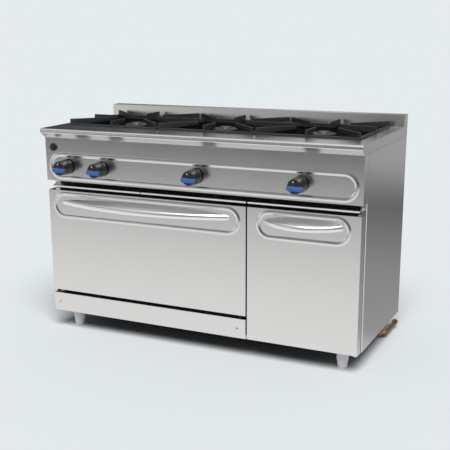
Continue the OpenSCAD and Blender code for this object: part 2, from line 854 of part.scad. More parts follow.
// Cast iron plate over the burner, with slots that let the heat up along its edges
module oven_sole_plate() {
    slot_w = 12;
    w = cavity_w - 2 * shelf_gap;
    d = cavity_d - 20;
    y = carcass_y + 14 + d / 2;
    pitch_x = w / 6.5;
    pitch_y = d / 4;
    slot_l = 0.8 * min(pitch_x, pitch_y);
    color(iron) from_front() translate([oven_mid_x, y, sole_z]) difference() {
        rounded_block(w, d, sole_t, 8);
        for (i = [-2.5:1:2.5], s = [-1, 1]) translate([i * pitch_x, s * (d / 2 - 25), -eps])
            linear_extrude(sole_t + 2 * eps) slot(slot_l, slot_w);
        for (j = [-1, 0, 1], s = [-1, 1]) translate([s * (w / 2 - 30), j * pitch_y, -eps])
            linear_extrude(sole_t + 2 * eps) rotate(90) slot(slot_l, slot_w);
    }
}

// Tube burner on two saddles, with a row of ports along each side
module oven_burner() {
    l = cavity_w - 60;
    saddle_w = 12;
    saddle_inset = 40;
    ports = 16;
    port_inset = 80;
    port_run = l - 2 * port_inset - 20;
    x0 = cavity_x0 + 12;
    color("silver") from_front() difference() {
        union() {
            along_x([x0, oven_burner_y, oven_burner_z], l, oven_burner_r);
            for (x = [x0 + saddle_inset, x0 + l - saddle_inset - 20])
                block([x, oven_burner_y - oven_burner_r, cavity_z0],
                    [x + saddle_w, oven_burner_y + oven_burner_r, oven_burner_z]);
        }
        for (i = [0:ports - 1])
            translate([x0 + port_inset + i * port_run / (ports - 1), oven_burner_y, oven_burner_z + 6])
                cube([8, 3 * oven_burner_r, 2.5], center = true);
    }
}

function runner_z(i) = sole_z + sole_t + first_runner + i * runner_pitch;
runner_y0 = carcass_y + 20;
runner_l = cavity_d - 40;

// Wire rack on the cavity's left wall: uprights, standoffs and three pairs of runners
module shelf_rack() {
    upright_y = [runner_y0 + 8, runner_y0 + runner_l / 2, runner_y0 + runner_l - 8];
    z0 = sole_z + sole_t + 15;
    z1 = runner_z(2) + 30;
    for (y = upright_y) {
        translate([cavity_x0 + upright_inset, y, z0]) cylinder(h = z1 - z0, r = runner_r);
        for (z = [z0 + 8, z1 - 8]) along_x([cavity_x0, y, z], upright_inset, runner_r - 0.6);
    }
    for (i = [0:2], dz = [0, 18])
        along_y([cavity_x0 + runner_inset, runner_y0, runner_z(i) + dz], runner_l, runner_r);
}

module shelf_racks() {
    color("silver") from_front() {
        shelf_rack();
        translate([2 * oven_mid_x, 0, 0]) mirror([1, 0, 0]) shelf_rack();
    }
}

// Wire shelf on the middle runners
module oven_shelf() {
    w = cavity_w - 2 * (upright_inset + runner_r + shelf_gap / 4 + shelf_frame_r);
    d = runner_l - 10;
    z = runner_z(1) + runner_r + shelf_frame_r + seat_gap;
    y0 = runner_y0 + 5;
    color("silver") from_front() translate([oven_mid_x, 0, z]) {
        for (y = [y0, y0 + d]) along_x([-w / 2 - shelf_frame_r, y, 0], w + 2 * shelf_frame_r, shelf_frame_r);
        for (s = [-1, 1]) along_y([s * w / 2, y0, 0], d, shelf_frame_r);
        for (i = [1:shelf_wires])
            along_y([-w / 2 + i * w / (shelf_wires + 1), y0, shelf_frame_r - 1], d, shelf_wire_r);
    }
}

// Flue: a neck out of the cavity's back and an upright duct to the upstand
module oven_flue() {
    t = 1;
    neck_z0 = cavity_z1 - flue_drop - flue_neck_h;
    neck_z1 = cavity_z1 - flue_drop;
    neck = flue_neck_w / 2;
    duct = flue_w / 2;
    duct_z = neck_z0 - 5;
    color("silver") from_front() translate([oven_mid_x, 0, 0]) difference() {
        union() {
            block([-neck, cavity_y1 + sheet_t, neck_z0], [neck, flue_y0, neck_z1]);
            block([-duct, flue_y0, duct_z], [duct, flue_y1, top_z]);
        }
        block([t - neck, 0, neck_z0 + t], [neck - t, flue_y1 - t, neck_z1 - t]);
        block([t - duct, flue_y0 + t, duct_z + t], [duct - t, flue_y1 - t, top_z + eps]);
    }
}

// ---- Gas train ----

// Square manifold across the back of the taps, bored from its right end
module gas_manifold() {
    h = manifold_w / 2;
    color("silver") from_front() difference() {
        block([manifold_x0, tap_back_y, knob_z - h], [manifold_x1, tap_back_y + manifold_w, knob_z + h]);
        along_x([manifold_x0 + 4, manifold_y, knob_z], manifold_x1 - manifold_x0, h - 3.5);
    }
}

// Tap: round seat on the panel's back, square body and a spindle bore
module gas_tap(i) {
    w = tap_body_w / 2;
    difference() {
        union() {
            along_y([knob_x(i), sheet_t, knob_z], tap_body_y0 - sheet_t + 1, tap_seat_r);
            block([knob_x(i) - w, tap_body_y0, knob_z - w], [knob_x(i) + w, tap_back_y, knob_z + w]);
        }
        along_y([knob_x(i), 0, knob_z], tap_bore_y, spindle_r + running_gap);
    }
}

module gas_taps() {
    color(brass) from_front() for (i = knob_ids) gas_tap(i);
}

// Feed pipes: three up and back to the burners' mixing tubes, one down to the oven burner
module gas_feed_pipes() {
    out_y = (tap_body_y0 + tap_back_y) / 2 - 2;
    w = tap_body_w / 2;
    down_x = (cavity_x0 - wool_out - inner_half_w) / 2;
    down_y = rail_back_y + feed_r + 8;
    color(copper) from_front() {
        for (i = burner_ids) {
            corner = [knob_x(i + 1), out_y, venturi_z];
            pipe_run([knob_x(i + 1), out_y, knob_z + w], corner, feed_r);
            pipe_run(corner, [burner_x(i), venturi_front - 6, venturi_z], feed_r);
            translate(corner) sphere(feed_r * 1.3);
            along_y([burner_x(i), venturi_front - 14, venturi_z], 12, feed_r + 3);
            along_y([burner_x(i), venturi_front - 3, venturi_z], 8, feed_r - 1);
        }
        bent_pipe([
            [knob_x(0), down_y, knob_z - w], [knob_x(0), down_y, panel_z + feed_drop],
            [down_x, down_y, panel_z + feed_drop], [down_x, down_y, oven_burner_z],
            [down_x, oven_burner_y, oven_burner_z], [cavity_x0 + 12, oven_burner_y, oven_burner_z],
        ], feed_r, feed_bend_r);
    }
}

// Inlet: from the manifold back along the right side, down through the cupboard and out behind
module gas_inlet_pipe() {
    run_x = half_w - inlet_x;
    color(copper) from_front() bent_pipe([
        [manifold_x1, manifold_y, knob_z],
        [riser_x, manifold_y, knob_z], [riser_x, riser_y, knob_z],
        [riser_x, riser_y, inlet_z], [run_x, riser_y, inlet_z], [run_x, union_y - inlet_reach, inlet_z],
    ], inlet_r, inlet_bend_r);
}

// Union at the end of the inlet pipe: hexagon and threaded end
module inlet_union() {
    bore_r = thread_r - 3;
    start = [half_w - inlet_x, union_y - inlet_reach, inlet_z];
    color(brass) from_front() translate(start) rotate([-90, 0, 0]) difference() {
        union() {
            cylinder(h = hex_l, r = inlet_x, $fn = 6);
            cylinder(h = hex_l + inlet_reach, r = thread_r);
        }
        translate([0, 0, 3]) cylinder(h = hex_l + inlet_reach, r = bore_r);
    }
}

// ---- Feet ----

module at_foot(sx, y) {
    from_front() translate([sx * (half_w - foot_inset), y, 0]) children();
}

// Fixed sleeves under the body, each bored for its foot's screw
module foot_sleeves() {
    bore_l = sleeve_h - foot_flange_t - 2;
    color("whitesmoke") for (sx = [-1, 1], y = [foot_y0, foot_y1]) at_foot(sx, y) difference() {
        union() {
            translate([0, 0, foot_h - foot_flange_t]) cylinder(h = foot_flange_t, r = foot_flange_r);
            translate([0, 0, sleeve_z]) cylinder(h = sleeve_h, r = sleeve_r);
        }
        translate([0, 0, sleeve_z - eps]) cylinder(h = bore_l, r = foot_spindle_r + running_gap);
    }
}

// Foot: a tapered pad on a screw that runs in its sleeve
module foot() {
    pad_h = sleeve_z - seat_gap;
    rim_h = 3;
    cylinder(h = rim_h, r = foot_r);
    translate([0, 0, rim_h]) cylinder(h = pad_h - rim_h, r1 = foot_r, r2 = sleeve_r - 1);
    translate([0, 0, rim_h]) cylinder(h = pad_h + foot_spindle_l - rim_h, r = foot_spindle_r);
}

module foot_front_left() { color("whitesmoke") at_foot(-1, foot_y0) foot(); }
module foot_front_right() { color("whitesmoke") at_foot(1, foot_y0) foot(); }
module foot_rear_left() { color("whitesmoke") at_foot(-1, foot_y1) foot(); }
module foot_rear_right() { color("whitesmoke") at_foot(1, foot_y1) foot(); }

// ---- Igniter, spindles and knobs ----

// Piezo igniter: collar in front of the panel, case behind it, bored for the button
module igniter_body() {
    case_l = 34;
    collar_h = 4;
    bore_r = igniter_r - 6 + running_gap;
    color(iron) from_front() translate([igniter_x - half_w, 0, panel_z + igniter_rise]) difference() {
        union() {
            along_y([0, -collar_h, 0], collar_h, igniter_r);
            along_y([0, 0, 0], sheet_t, igniter_r - 4);
            along_y([0, sheet_t, 0], case_l, igniter_r - 2);
        }
        along_y([0, -collar_h - eps, 0], 20, bore_r);
    }
}

module igniter_button() {
    color("black") from_front()
        along_y([igniter_x - half_w, -10, panel_z + igniter_rise], 18, igniter_r - 6);
}

// Spindle of a tap, with a flat on the length that carries the knob
module tap_spindle(i) {
    back_y = tap_bore_y - 1;
    tip_y = -knob_reach + spindle_tip;
    flat = spindle_r * flat_share;
    color("silver") from_front() translate([knob_x(i), 0, knob_z]) difference() {
        along_y([0, tip_y, 0], back_y - tip_y, spindle_r);
        block([-2 * spindle_r, tip_y - eps, flat], [2 * spindle_r, 0, 2 * spindle_r]);
    }
}

module tap_spindle_oven() { tap_spindle(0); }
module tap_spindle_left() { tap_spindle(1); }
module tap_spindle_middle() { tap_spindle(2); }
module tap_spindle_right() { tap_spindle(3); }

// Knob: a round body that narrows a little to its face, a bar across the face to grip and a
// rib above it
module knob(i) {
    face = knob_l - grip_proud;
    face_r = knob_r - 3;
    edge_r = 4;
    grip_y = -grip_w / 2 + 1;
    grip_root = 6;
    bore_l = knob_l - spindle_tip + knob_push + seat_gap;
    flat = spindle_r * flat_share + running_gap;
    color(iron) from_front() translate([knob_x(i), -knob_gap, knob_z]) rotate([90, 0, 0]) difference() {
        union() {
            rotate_extrude() {
                polygon([[0, 0], [knob_r, 0], [face_r, face - edge_r], [0, face - edge_r]]);
                square([face_r - edge_r, face]);
                translate([face_r - edge_r, face - edge_r]) circle(edge_r);
            }
            intersection() {
                cylinder(h = knob_l, r = face_r + 1);
                rotate([90, 0, 90]) linear_extrude(2 * knob_r, center = true) {
                    translate([grip_y, knob_l - grip_w / 2]) circle(grip_w / 2);
                    translate([grip_y - grip_w / 2, face - grip_root])
                        square([grip_w, knob_l - grip_w / 2 - face + grip_root]);
                }
            }
            translate([6.5, 0, face - 1]) cube([2.5, knob_r - 8, 4]);
        }
        difference() {
            translate([0, 0, -eps]) cylinder(h = bore_l + eps, r = spindle_r + running_gap);
            block([-2 * spindle_r, flat, -1], [2 * spindle_r, 2 * spindle_r, knob_l]);
        }
    }
}

module knob_oven() { knob(0); }
module knob_left() { knob(1); }
module knob_middle() { knob(2); }
module knob_right() { knob(3); }

// ---- Doors ----

// Outer skin of a door: a tray of sheet open at the back, with a pressed stadium bead
module door_skin(x0, x1, z0, bead_inset) {
    back = door_d - sheet_t;
    sheet_box([x0, 0, z0], [x1, back, door_top_z], "back");
    stadium_bead([(x0 + x1) / 2, 0, door_top_z - door_bead_drop], x1 - x0 - 2 * bead_inset, door_bead_r);
}

// Inner panel of a door
module door_back(x0, x1, z0) {
    block([x0, door_d - sheet_t, z0], [x1, door_d, door_top_z]);
}

// Section of a handle: flat behind and rounded in front, which is at x = 0
module handle_section() {
    front_r = handle_h * 0.65;
    intersection() {
        translate([-handle_t, -handle_h / 2]) square([handle_t, handle_h]);
        translate([-front_r, 0]) circle(front_r);
    }
}

// Bowed bar handle: an arc in plan, cut off flush with the door
module bow_handle(mid_x, chord) {
    r = bow_radius(chord, handle_reach);
    z = door_top_z - handle_drop - handle_h / 2;
    half = asin(chord / 2 / r) + 1;
    intersection() {
        translate([mid_x, r - handle_reach, z]) rotate(-90 - half)
            rotate_extrude(angle = 2 * half, $fn = 360) translate([r, 0]) handle_section();
        block([mid_x - chord, -2 * handle_reach, z - handle_h], [mid_x + chord, 0, z + handle_h]);
    }
}

module oven_door_skin() {
    color(steel) from_front() door_skin(oven_x0, oven_x1, oven_door_z, oven_bead_inset);
}

// The oven door's inner panel has a raised middle inside the seal
module oven_door_liner() {
    color("silver") from_front() {
        door_back(oven_x0, oven_x1, oven_door_z);
        block([cavity_x0 + emboss_inset, door_d - sheet_t, cavity_z0 + emboss_inset],
            [cavity_x1 - emboss_inset, door_d + emboss_h, cavity_z1 - emboss_inset]);
    }
}

module oven_door_insulation() {
    in = sheet_t + 1;
    color("khaki") from_front() block([oven_x0 + in, sheet_t, oven_door_z + in],
        [oven_x1 - in, door_d - sheet_t, door_top_z - in]);
}

module oven_door_handle() {
    color("white") from_front() bow_handle((oven_x0 + oven_x1) / 2, oven_handle_l);
}

// Ear that the oven door's pin turns in, on an arm from the bottom rail
module oven_hinge_bracket(x0) {
    along = eye_w;
    difference() {
        union() {
            along_x([x0, pivot_y, oven_pivot_z], along, eye_r);
            block([x0, pivot_y, oven_pivot_z - eye_r], [x0 + along, carcass_y, oven_pivot_z + eye_r - 1]);
        }
        along_x([x0 - eps, pivot_y, oven_pivot_z], along + 2 * eps, oven_pin_r + running_gap);
    }
}

// Lug under the door with the pin that runs into the bracket's ear
module oven_hinge_lug(x0) {
    along_x([x0, pivot_y, oven_pivot_z], eye_w, eye_r);
    block([x0, pivot_y - eye_r, oven_pivot_z], [x0 + eye_w, pivot_y + eye_r, oven_door_z]);
    along_x([x0 - hinge_gap - eye_w, pivot_y, oven_pivot_z], hinge_gap + eye_w + 1, oven_pin_r);
}

module oven_hinge_brackets() {
    color("silver") from_front() {
        oven_hinge_bracket(oven_x0 + eye_inset);
        translate([oven_x0 + oven_x1, 0, 0]) mirror([1, 0, 0]) oven_hinge_bracket(oven_x0 + eye_inset);
    }
}

module oven_door_hinges() {
    lug_x = oven_x0 + eye_inset + eye_w + hinge_gap;
    color("silver") from_front() {
        oven_hinge_lug(lug_x);
        translate([oven_x0 + oven_x1, 0, 0]) mirror([1, 0, 0]) oven_hinge_lug(lug_x);
    }
}

// The cupboard door turns on pins let into its top and bottom edges
module cupboard_door_skin() {
    color(steel) from_front() difference() {
        door_skin(cup_x0, cup_x1, cup_door_z, cup_bead_inset);
        for (z = [cup_door_z, door_top_z - sheet_t]) translate([cup_pivot_x, cup_pivot_y, z - eps])
            cylinder(h = sheet_t + 2 * eps, r = pin_r + running_gap);
    }
}

module cupboard_door_liner() {
    color("silver") from_front() door_back(cup_x0, cup_x1, cup_door_z);
}

module cupboard_door_handle() {
    color("white") from_front() bow_handle((cup_x0 + cup_x1) / 2, cup_handle_l);
}

// Pivot arm with its pin; dir is 1 where the pin points up and -1 where it points down
module cupboard_hinge_arm(z, dir) {
    pin_l = 9;
    arm_z = dir > 0 ? z - cup_arm_t : z;
    pin_z = dir > 0 ? z - 1 : z - pin_l;
    arm_l = carcass_y - cup_pivot_y + (dir > 0 ? 20 : 0);
    translate([cup_pivot_x, cup_pivot_y, 0]) {
        translate([0, 0, arm_z]) linear_extrude(cup_arm_t) {
            circle(cup_arm_w / 2);
            translate([-cup_arm_w / 2, 0]) square([cup_arm_w, arm_l]);
        }
        translate([0, 0, pin_z]) cylinder(h = pin_l + 1, r = pin_r);
    }
}

module cupboard_hinge_brackets() {
    color("silver") from_front() {
        cupboard_hinge_arm(foot_h, 1);
        cupboard_hinge_arm(door_top_z + 2, -1);
    }
}

// Magnetic catch on the mullion, behind the cupboard door's free edge
module door_catch() {
    z = (cup_door_z + door_top_z) / 2;
    color("black") from_front()
        block([cup_x0 + 2, door_d + seat_gap, z - 20], [split_x + mullion_w / 2, carcass_y, z + 20]);
}

side_panel_left();
side_panel_right();
rear_panel();
base_panel();
partition();
mullion();
cross_rails();
worktop();
upstand();
spill_trays();
control_panel();
louvre_blades();
kick_panel();
panel_screws();
oven_liner();
oven_insulation();
door_seal();
oven_sole_plate();
oven_burner();
shelf_racks();
oven_shelf();
oven_flue();
burner_bodies();
gas_manifold();
gas_taps();
gas_feed_pipes();
gas_inlet_pipe();
inlet_union();
foot_sleeves();
oven_hinge_brackets();
cupboard_hinge_brackets();
door_catch();
igniter_body();
igniter_button();
tap_spindle_oven();
tap_spindle_left();
tap_spindle_middle();
tap_spindle_right();
knob_oven();
knob_left();
knob_middle();
knob_right();
oven_door_skin();
oven_door_liner();
oven_door_insulation();
oven_door_handle();
oven_door_hinges();
cupboard_door_skin();
cupboard_door_liner();
cupboard_door_handle();
pan_support_left();
pan_support_middle();
pan_support_right();
burner_cap_left();
burner_cap_middle();
burner_cap_right();
foot_front_left();
foot_front_right();
foot_rear_left();
foot_rear_right();
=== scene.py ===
"""Looks of a stainless steel commercial gas range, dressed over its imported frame.

Lengths are in metres and in the frame's own axes: the origin is the centre of the footprint on the
floor, +Z is up and -Y is towards the cook. Sizes written in millimetres carry the factor MM.
"""

import logging
import math
from dataclasses import dataclass
from enum import Enum
from typing import Any, Callable, Optional, Sequence, Union

import bmesh
import bpy
from mathutils import Matrix, Vector

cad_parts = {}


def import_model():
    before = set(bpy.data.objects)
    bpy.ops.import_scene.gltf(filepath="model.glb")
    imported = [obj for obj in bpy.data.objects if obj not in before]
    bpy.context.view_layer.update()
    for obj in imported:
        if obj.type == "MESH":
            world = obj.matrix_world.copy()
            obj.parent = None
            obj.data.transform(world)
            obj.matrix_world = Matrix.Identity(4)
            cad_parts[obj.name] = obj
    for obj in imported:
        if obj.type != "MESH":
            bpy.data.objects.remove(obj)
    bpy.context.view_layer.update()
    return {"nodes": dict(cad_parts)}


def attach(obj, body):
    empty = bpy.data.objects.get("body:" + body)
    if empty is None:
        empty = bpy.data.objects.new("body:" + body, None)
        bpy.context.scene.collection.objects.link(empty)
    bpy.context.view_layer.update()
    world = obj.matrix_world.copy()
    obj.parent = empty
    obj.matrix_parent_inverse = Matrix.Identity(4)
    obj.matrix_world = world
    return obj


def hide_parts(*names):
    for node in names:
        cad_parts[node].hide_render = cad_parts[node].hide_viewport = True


LOG = logging.getLogger("range")
MM = 0.001

# The door faces lie in this plane, and these are the heights and places of the body's main lines
FACE_Y = -235 * MM
BACK_Y = 283 * MM
HALF_WIDTH = 600 * MM
PANEL_TOP_Z = 728 * MM
KNOB_Z = 625.5 * MM
BURNER_Y = 35.5 * MM
BURNER_PITCH = 372.5 * MM

Point = Sequence[float]
Input = Union[float, Sequence[float], str, bpy.types.NodeSocket]
Stops = Sequence[tuple[float, str]]
Outline = tuple[tuple[float, float], ...]


class Grain(Enum):
    """Direction in which a sheet was ground."""

    ALONG_X = (1, 0, 0)
    ALONG_Z = (0, 0, 1)


class KnobPlace(Enum):
    """The four knobs, each with its distance from the middle of the panel in millimetres."""

    OVEN = -507.5
    LEFT = -362.5
    MIDDLE = 14.0
    RIGHT = 390.5

    @property
    def body(self) -> str:
        """The name of the body that this knob is."""
        return f"knob_{self.name.lower()}"


class BurnerPlace(Enum):
    """The three burners, each with its place in the row."""

    LEFT = -1
    MIDDLE = 0
    RIGHT = 1

    @property
    def centre(self) -> tuple[float, float]:
        """The burner's axis on the worktop."""
        return (self.value * BURNER_PITCH, BURNER_Y)


def linear(colour: str) -> tuple[float, float, float, float]:
    """Turns an sRGB hex colour into linear red, green, blue and alpha.

    Args:
        colour: A colour such as "#D4D2CF".

    Returns:
        The colour as Blender's sockets take it.
    """
    parts = [int(colour[i : i + 2], 16) / 255 for i in (1, 3, 5)]
    red, green, blue = (c / 12.92 if c <= 0.04045 else ((c + 0.055) / 1.055) ** 2.4 for c in parts)
    return (red, green, blue, 1.0)


def add_node(
    tree: bpy.types.NodeTree,
    kind: str,
    inputs: Optional[dict[Union[str, int], Input]] = None,
    stops: Stops = (),
    **settings: Any,
) -> bpy.types.Node:
    """Adds a node with its settings, values and links.

    Args:
        tree: The tree that the node goes into.
        kind: The node's type, such as "ShaderNodeTexNoise".
        inputs: What each input takes, by name or number: a value, a hex colour or an output to link.
        stops: For a colour ramp, the place and hex colour of each stop from the lowest up.
        **settings: The node's own properties.

    Returns:
        The new node.
    """
    made = tree.nodes.new(kind)
    for key, value in settings.items():
        setattr(made, key, value)
    for key, value in (inputs or {}).items():
        socket = made.inputs[key]
        if isinstance(value, bpy.types.NodeSocket):
            tree.links.new(value, socket)
        else:
            socket.default_value = linear(value) if isinstance(value, str) else value
    for index, (place, colour) in enumerate(stops):
        elements = made.color_ramp.elements
        element = elements[index] if index < len(elements) else elements.new(place)
        element.position, element.color = place, linear(colour)
    return made


# ---- Finishes ----


@dataclass(frozen=True)
class Finish:
    """A surface finish: a pattern that colour, roughness and relief all follow.

    Each kind gives its own pattern, and where one tone between dark and light isn't enough, its own
    colour.
    """

    name: str
    light: str
    dark: str
    roughness: float
    spread: float = 0.05
    relief_mm: float = 0.05
    relief_share: float = 0.3
    edge_mm: float = 0.8
    metallic: float = 0.0

    def pattern(self, tree: bpy.types.NodeTree, place: bpy.types.NodeSocket) -> bpy.types.NodeSocket:
        """Adds the nodes of the surface's pattern.

        Args:
            tree: The material's tree.
            place: The point on the object.

        Returns:
            A value from 0 to 1, which is also the height of the relief.
        """
        raise NotImplementedError

    def colour(
        self,
        tree: bpy.types.NodeTree,
        place: bpy.types.NodeSocket,
        pattern: bpy.types.NodeSocket,
        edge: bpy.types.NodeSocket,
    ) -> bpy.types.NodeSocket:
        """Adds the nodes of the surface's colour.

        Args:
            tree: The material's tree.
            place: The point on the object.
            pattern: What pattern() returned.
            edge: The normal with its edges rounded.

        Returns:
            The colour.
        """
        return add_node(
            tree,
            "ShaderNodeMix",
            {"Factor": pattern, "A": self.dark, "B": self.light},
            data_type="RGBA",
        ).outputs["Result"]

    def facing(self, tree: bpy.types.NodeTree, edge: bpy.types.NodeSocket) -> bpy.types.NodeSocket:
        """Gives the normal that the relief is laid on: as a rule the one with rounded edges."""
        return edge

    def grain_inputs(
        self, tree: bpy.types.NodeTree, edge: bpy.types.NodeSocket
    ) -> dict[Union[str, int], Input]:
        """Gives what the shader takes for a grain that stretches reflections: as a rule nothing."""
        return {}

    def material(self) -> bpy.types.Material:
        """Makes the material, or returns it if it was made before."""
        found = bpy.data.materials.get(self.name)
        if found:
            return found
        made = bpy.data.materials.new(self.name)
        made.use_nodes = True
        tree = made.node_tree
        tree.nodes.clear()
        place = add_node(tree, "ShaderNodeTexCoord").outputs["Object"]
        pattern = self.pattern(tree, place)
        edge = add_node(
            tree, "ShaderNodeBevel", {"Radius": self.edge_mm * MM}, samples=4
        ).outputs[0]
        rough = add_node(
            tree,
            "ShaderNodeMath",
            {0: pattern, 1: 2 * self.spread, 2: self.roughness - self.spread},
            operation="MULTIPLY_ADD",
        )
        relief = add_node(
            tree,
            "ShaderNodeBump",
            {
                "Strength": self.relief_share,
                "Distance": self.relief_mm * MM,
                "Height": pattern,
                "Normal": self.facing(tree, edge),
            },
        )
        shader = add_node(
            tree,
            "ShaderNodeBsdfPrincipled",
            {
                "Base Color": self.colour(tree, place, pattern, edge),
                "Roughness": rough.outputs[0],
                "Normal": relief.outputs[0],
                "Metallic": self.metallic,
                **self.grain_inputs(tree, edge),
            },
        )
        add_node(tree, "ShaderNodeOutputMaterial", {"Surface": shader.outputs[0]})
        return made


@dataclass(frozen=True)
class BrushedSteel(Finish):
    """Stainless steel sheet, belt-ground in one direction: pale grey with fine straight scratches."""

    grain: Grain = Grain.ALONG_X
    light: str = "#DDDCDB"
    dark: str = "#D5D4D3"
    roughness: float = 0.2
    spread: float = 0.035
    relief_mm: float = 0.02
    relief_share: float = 0.06
    edge_mm: float = 1.2
    metallic: float = 1.0
    scratch_mm: float = 0.8
    scratch_length_mm: float = 60.0
    smear_mm: float = 180.0
    smear_share: float = 0.4
    anisotropy: float = 0.0
    # Keeps a direction for the stretch where a face looks along the scratches
    fallback: tuple[float, float, float] = (0.0, 0.03, 0.03)
    lean: float = 0.0

    def facing(self, tree: bpy.types.NodeTree, edge: bpy.types.NodeSocket) -> bpy.types.NodeSocket:
        """Leans the face back in its shading alone, by the finish's lean; the mesh stays upright."""
        if not self.lean:
            return edge
        return add_node(
            tree, "ShaderNodeVectorRotate", {"Vector": edge, "Angle": -self.lean}, rotation_type="X_AXIS"
        ).outputs[0]

    def grain_inputs(
        self, tree: bpy.types.NodeTree, edge: bpy.types.NodeSocket
    ) -> dict[Union[str, int], Input]:
        """Stretches reflections across the scratches; the base class says the arguments."""
        if not self.anisotropy:
            return {}
        scratches = add_node(
            tree,
            "ShaderNodeVectorTransform",
            {"Vector": self.grain.value},
            vector_type="VECTOR",
            convert_from="OBJECT",
            convert_to="WORLD",
        )
        across = add_node(
            tree, "ShaderNodeVectorMath", {0: edge, 1: scratches.outputs[0]}, operation="CROSS_PRODUCT"
        )
        kept = add_node(tree, "ShaderNodeVectorMath", {0: across.outputs[0], 1: self.fallback})
        return {"Anisotropic": self.anisotropy, "Tangent": kept.outputs[0]}

    def pattern(self, tree: bpy.types.NodeTree, place: bpy.types.NodeSocket) -> bpy.types.NodeSocket:
        """Adds the scratches; the base class says what the arguments are."""
        # A 220-grit belt leaves scratches 0.05 mm wide. They are drawn 0.8 mm wide, so that they
        # show as a faint grain in a view from a step away.
        across, along = 1 / (self.scratch_mm * MM), 1 / (self.scratch_length_mm * MM)
        scale = [along if axis else across for axis in self.grain.value]
        stretched = add_node(tree, "ShaderNodeMapping", {"Vector": place, "Scale": scale})
        scratches = add_node(
            tree,
            "ShaderNodeTexNoise",
            {"Vector": stretched.outputs[0], "Scale": 1.0, "Detail": 3.0, "Roughness": 0.6},
        )
        # Wiping leaves broad dull patches, a hand's width or more
        smears = add_node(
            tree, "ShaderNodeTexNoise", {"Vector": place, "Scale": 1 / (self.smear_mm * MM), "Detail": 2.0}
        )
        return add_node(
            tree,
            "ShaderNodeMath",
            {0: smears.outputs[0], 1: self.smear_share, 2: scratches.outputs[0]},
            operation="MULTIPLY_ADD",
        ).outputs[0]


@dataclass(frozen=True)
class PlainMetal(Finish):
    """Metal with no grain of its own, such as mill-finish sheet, zinc plate or a machined face."""

    roughness: float = 0.3
    spread: float = 0.08
    metallic: float = 1.0
    mottle_mm: float = 12.0

    def pattern(self, tree: bpy.types.NodeTree, place: bpy.types.NodeSocket) -> bpy.types.NodeSocket:
        """Adds the mottle of rolling, plating or tarnish; the base class says the arguments."""
        return add_node(
            tree,
            "ShaderNodeTexNoise",
            {"Vector": place, "Scale": 1 / (self.mottle_mm * MM), "Detail": 4.0},
        ).outputs[0]


@dataclass(frozen=True)
class CastIron(Finish):
    """Cast iron under matt black enamel: the sand of the mould shows through as coarse grain."""

    light: str = "#303236"
    dark: str = "#1E1F21"
    roughness: float = 0.5
    spread: float = 0.12
    relief_mm: float = 0.25
    relief_share: float = 0.5
    edge_mm: float = 1.6
    worn: str = "#515358"
    grain_mm: float = 2.2
    # How far the two normals agree where wear starts and where it is full, and how far it goes
    wear_start: float = 0.97
    wear_full: float = 0.80
    wear_share: float = 0.5

    def pattern(self, tree: bpy.types.NodeTree, place: bpy.types.NodeSocket) -> bpy.types.NodeSocket:
        """Adds the sand grain; the base class says what the arguments are."""
        # Moulding sand is 0.3 mm; under enamel its lumps are about 2 mm apart
        return add_node(
            tree,
            "ShaderNodeTexNoise",
            {"Vector": place, "Scale": 1 / (self.grain_mm * MM), "Detail": 5.0, "Roughness": 0.65},
        ).outputs[0]

    def colour(
        self,
        tree: bpy.types.NodeTree,
        place: bpy.types.NodeSocket,
        pattern: bpy.types.NodeSocket,
        edge: bpy.types.NodeSocket,
    ) -> bpy.types.NodeSocket:
        """Adds the enamel that pans wear thin on edges; the base class says the arguments."""
        # An edge is where the rounded normal leaves the true one
        level = add_node(
            tree,
            "ShaderNodeVectorMath",
            {0: edge, 1: add_node(tree, "ShaderNodeNewGeometry").outputs["True Normal"]},
            operation="DOT_PRODUCT",
        )
        wear = add_node(
            tree,
            "ShaderNodeMapRange",
            {
                "Value": level.outputs["Value"],
                1: self.wear_start,
                2: self.wear_full,
                3: 0.0,
                4: self.wear_share,
            },
        )
        enamel = super().colour(tree, place, pattern, edge)
        return add_node(
            tree,
            "ShaderNodeMix",
            {"Factor": wear.outputs[0], "A": enamel, "B": self.worn},
            data_type="RGBA",
        ).outputs["Result"]


@dataclass(frozen=True)
class Coated(Finish):
    """Smooth coat or skin: enamel, paint, moulded plastic or glazed ceramic."""

    roughness: float = 0.3
    spread: float = 0.06
    ripple_mm: float = 6.0

    def pattern(self, tree: bpy.types.NodeTree, place: bpy.types.NodeSocket) -> bpy.types.NodeSocket:
        """Adds the coat's slow ripple; the base class says what the arguments are."""
        return add_node(
            tree,
            "ShaderNodeTexNoise",
            {"Vector": place, "Scale": 1 / (self.ripple_mm * MM), "Detail": 2.0},
        ).outputs[0]


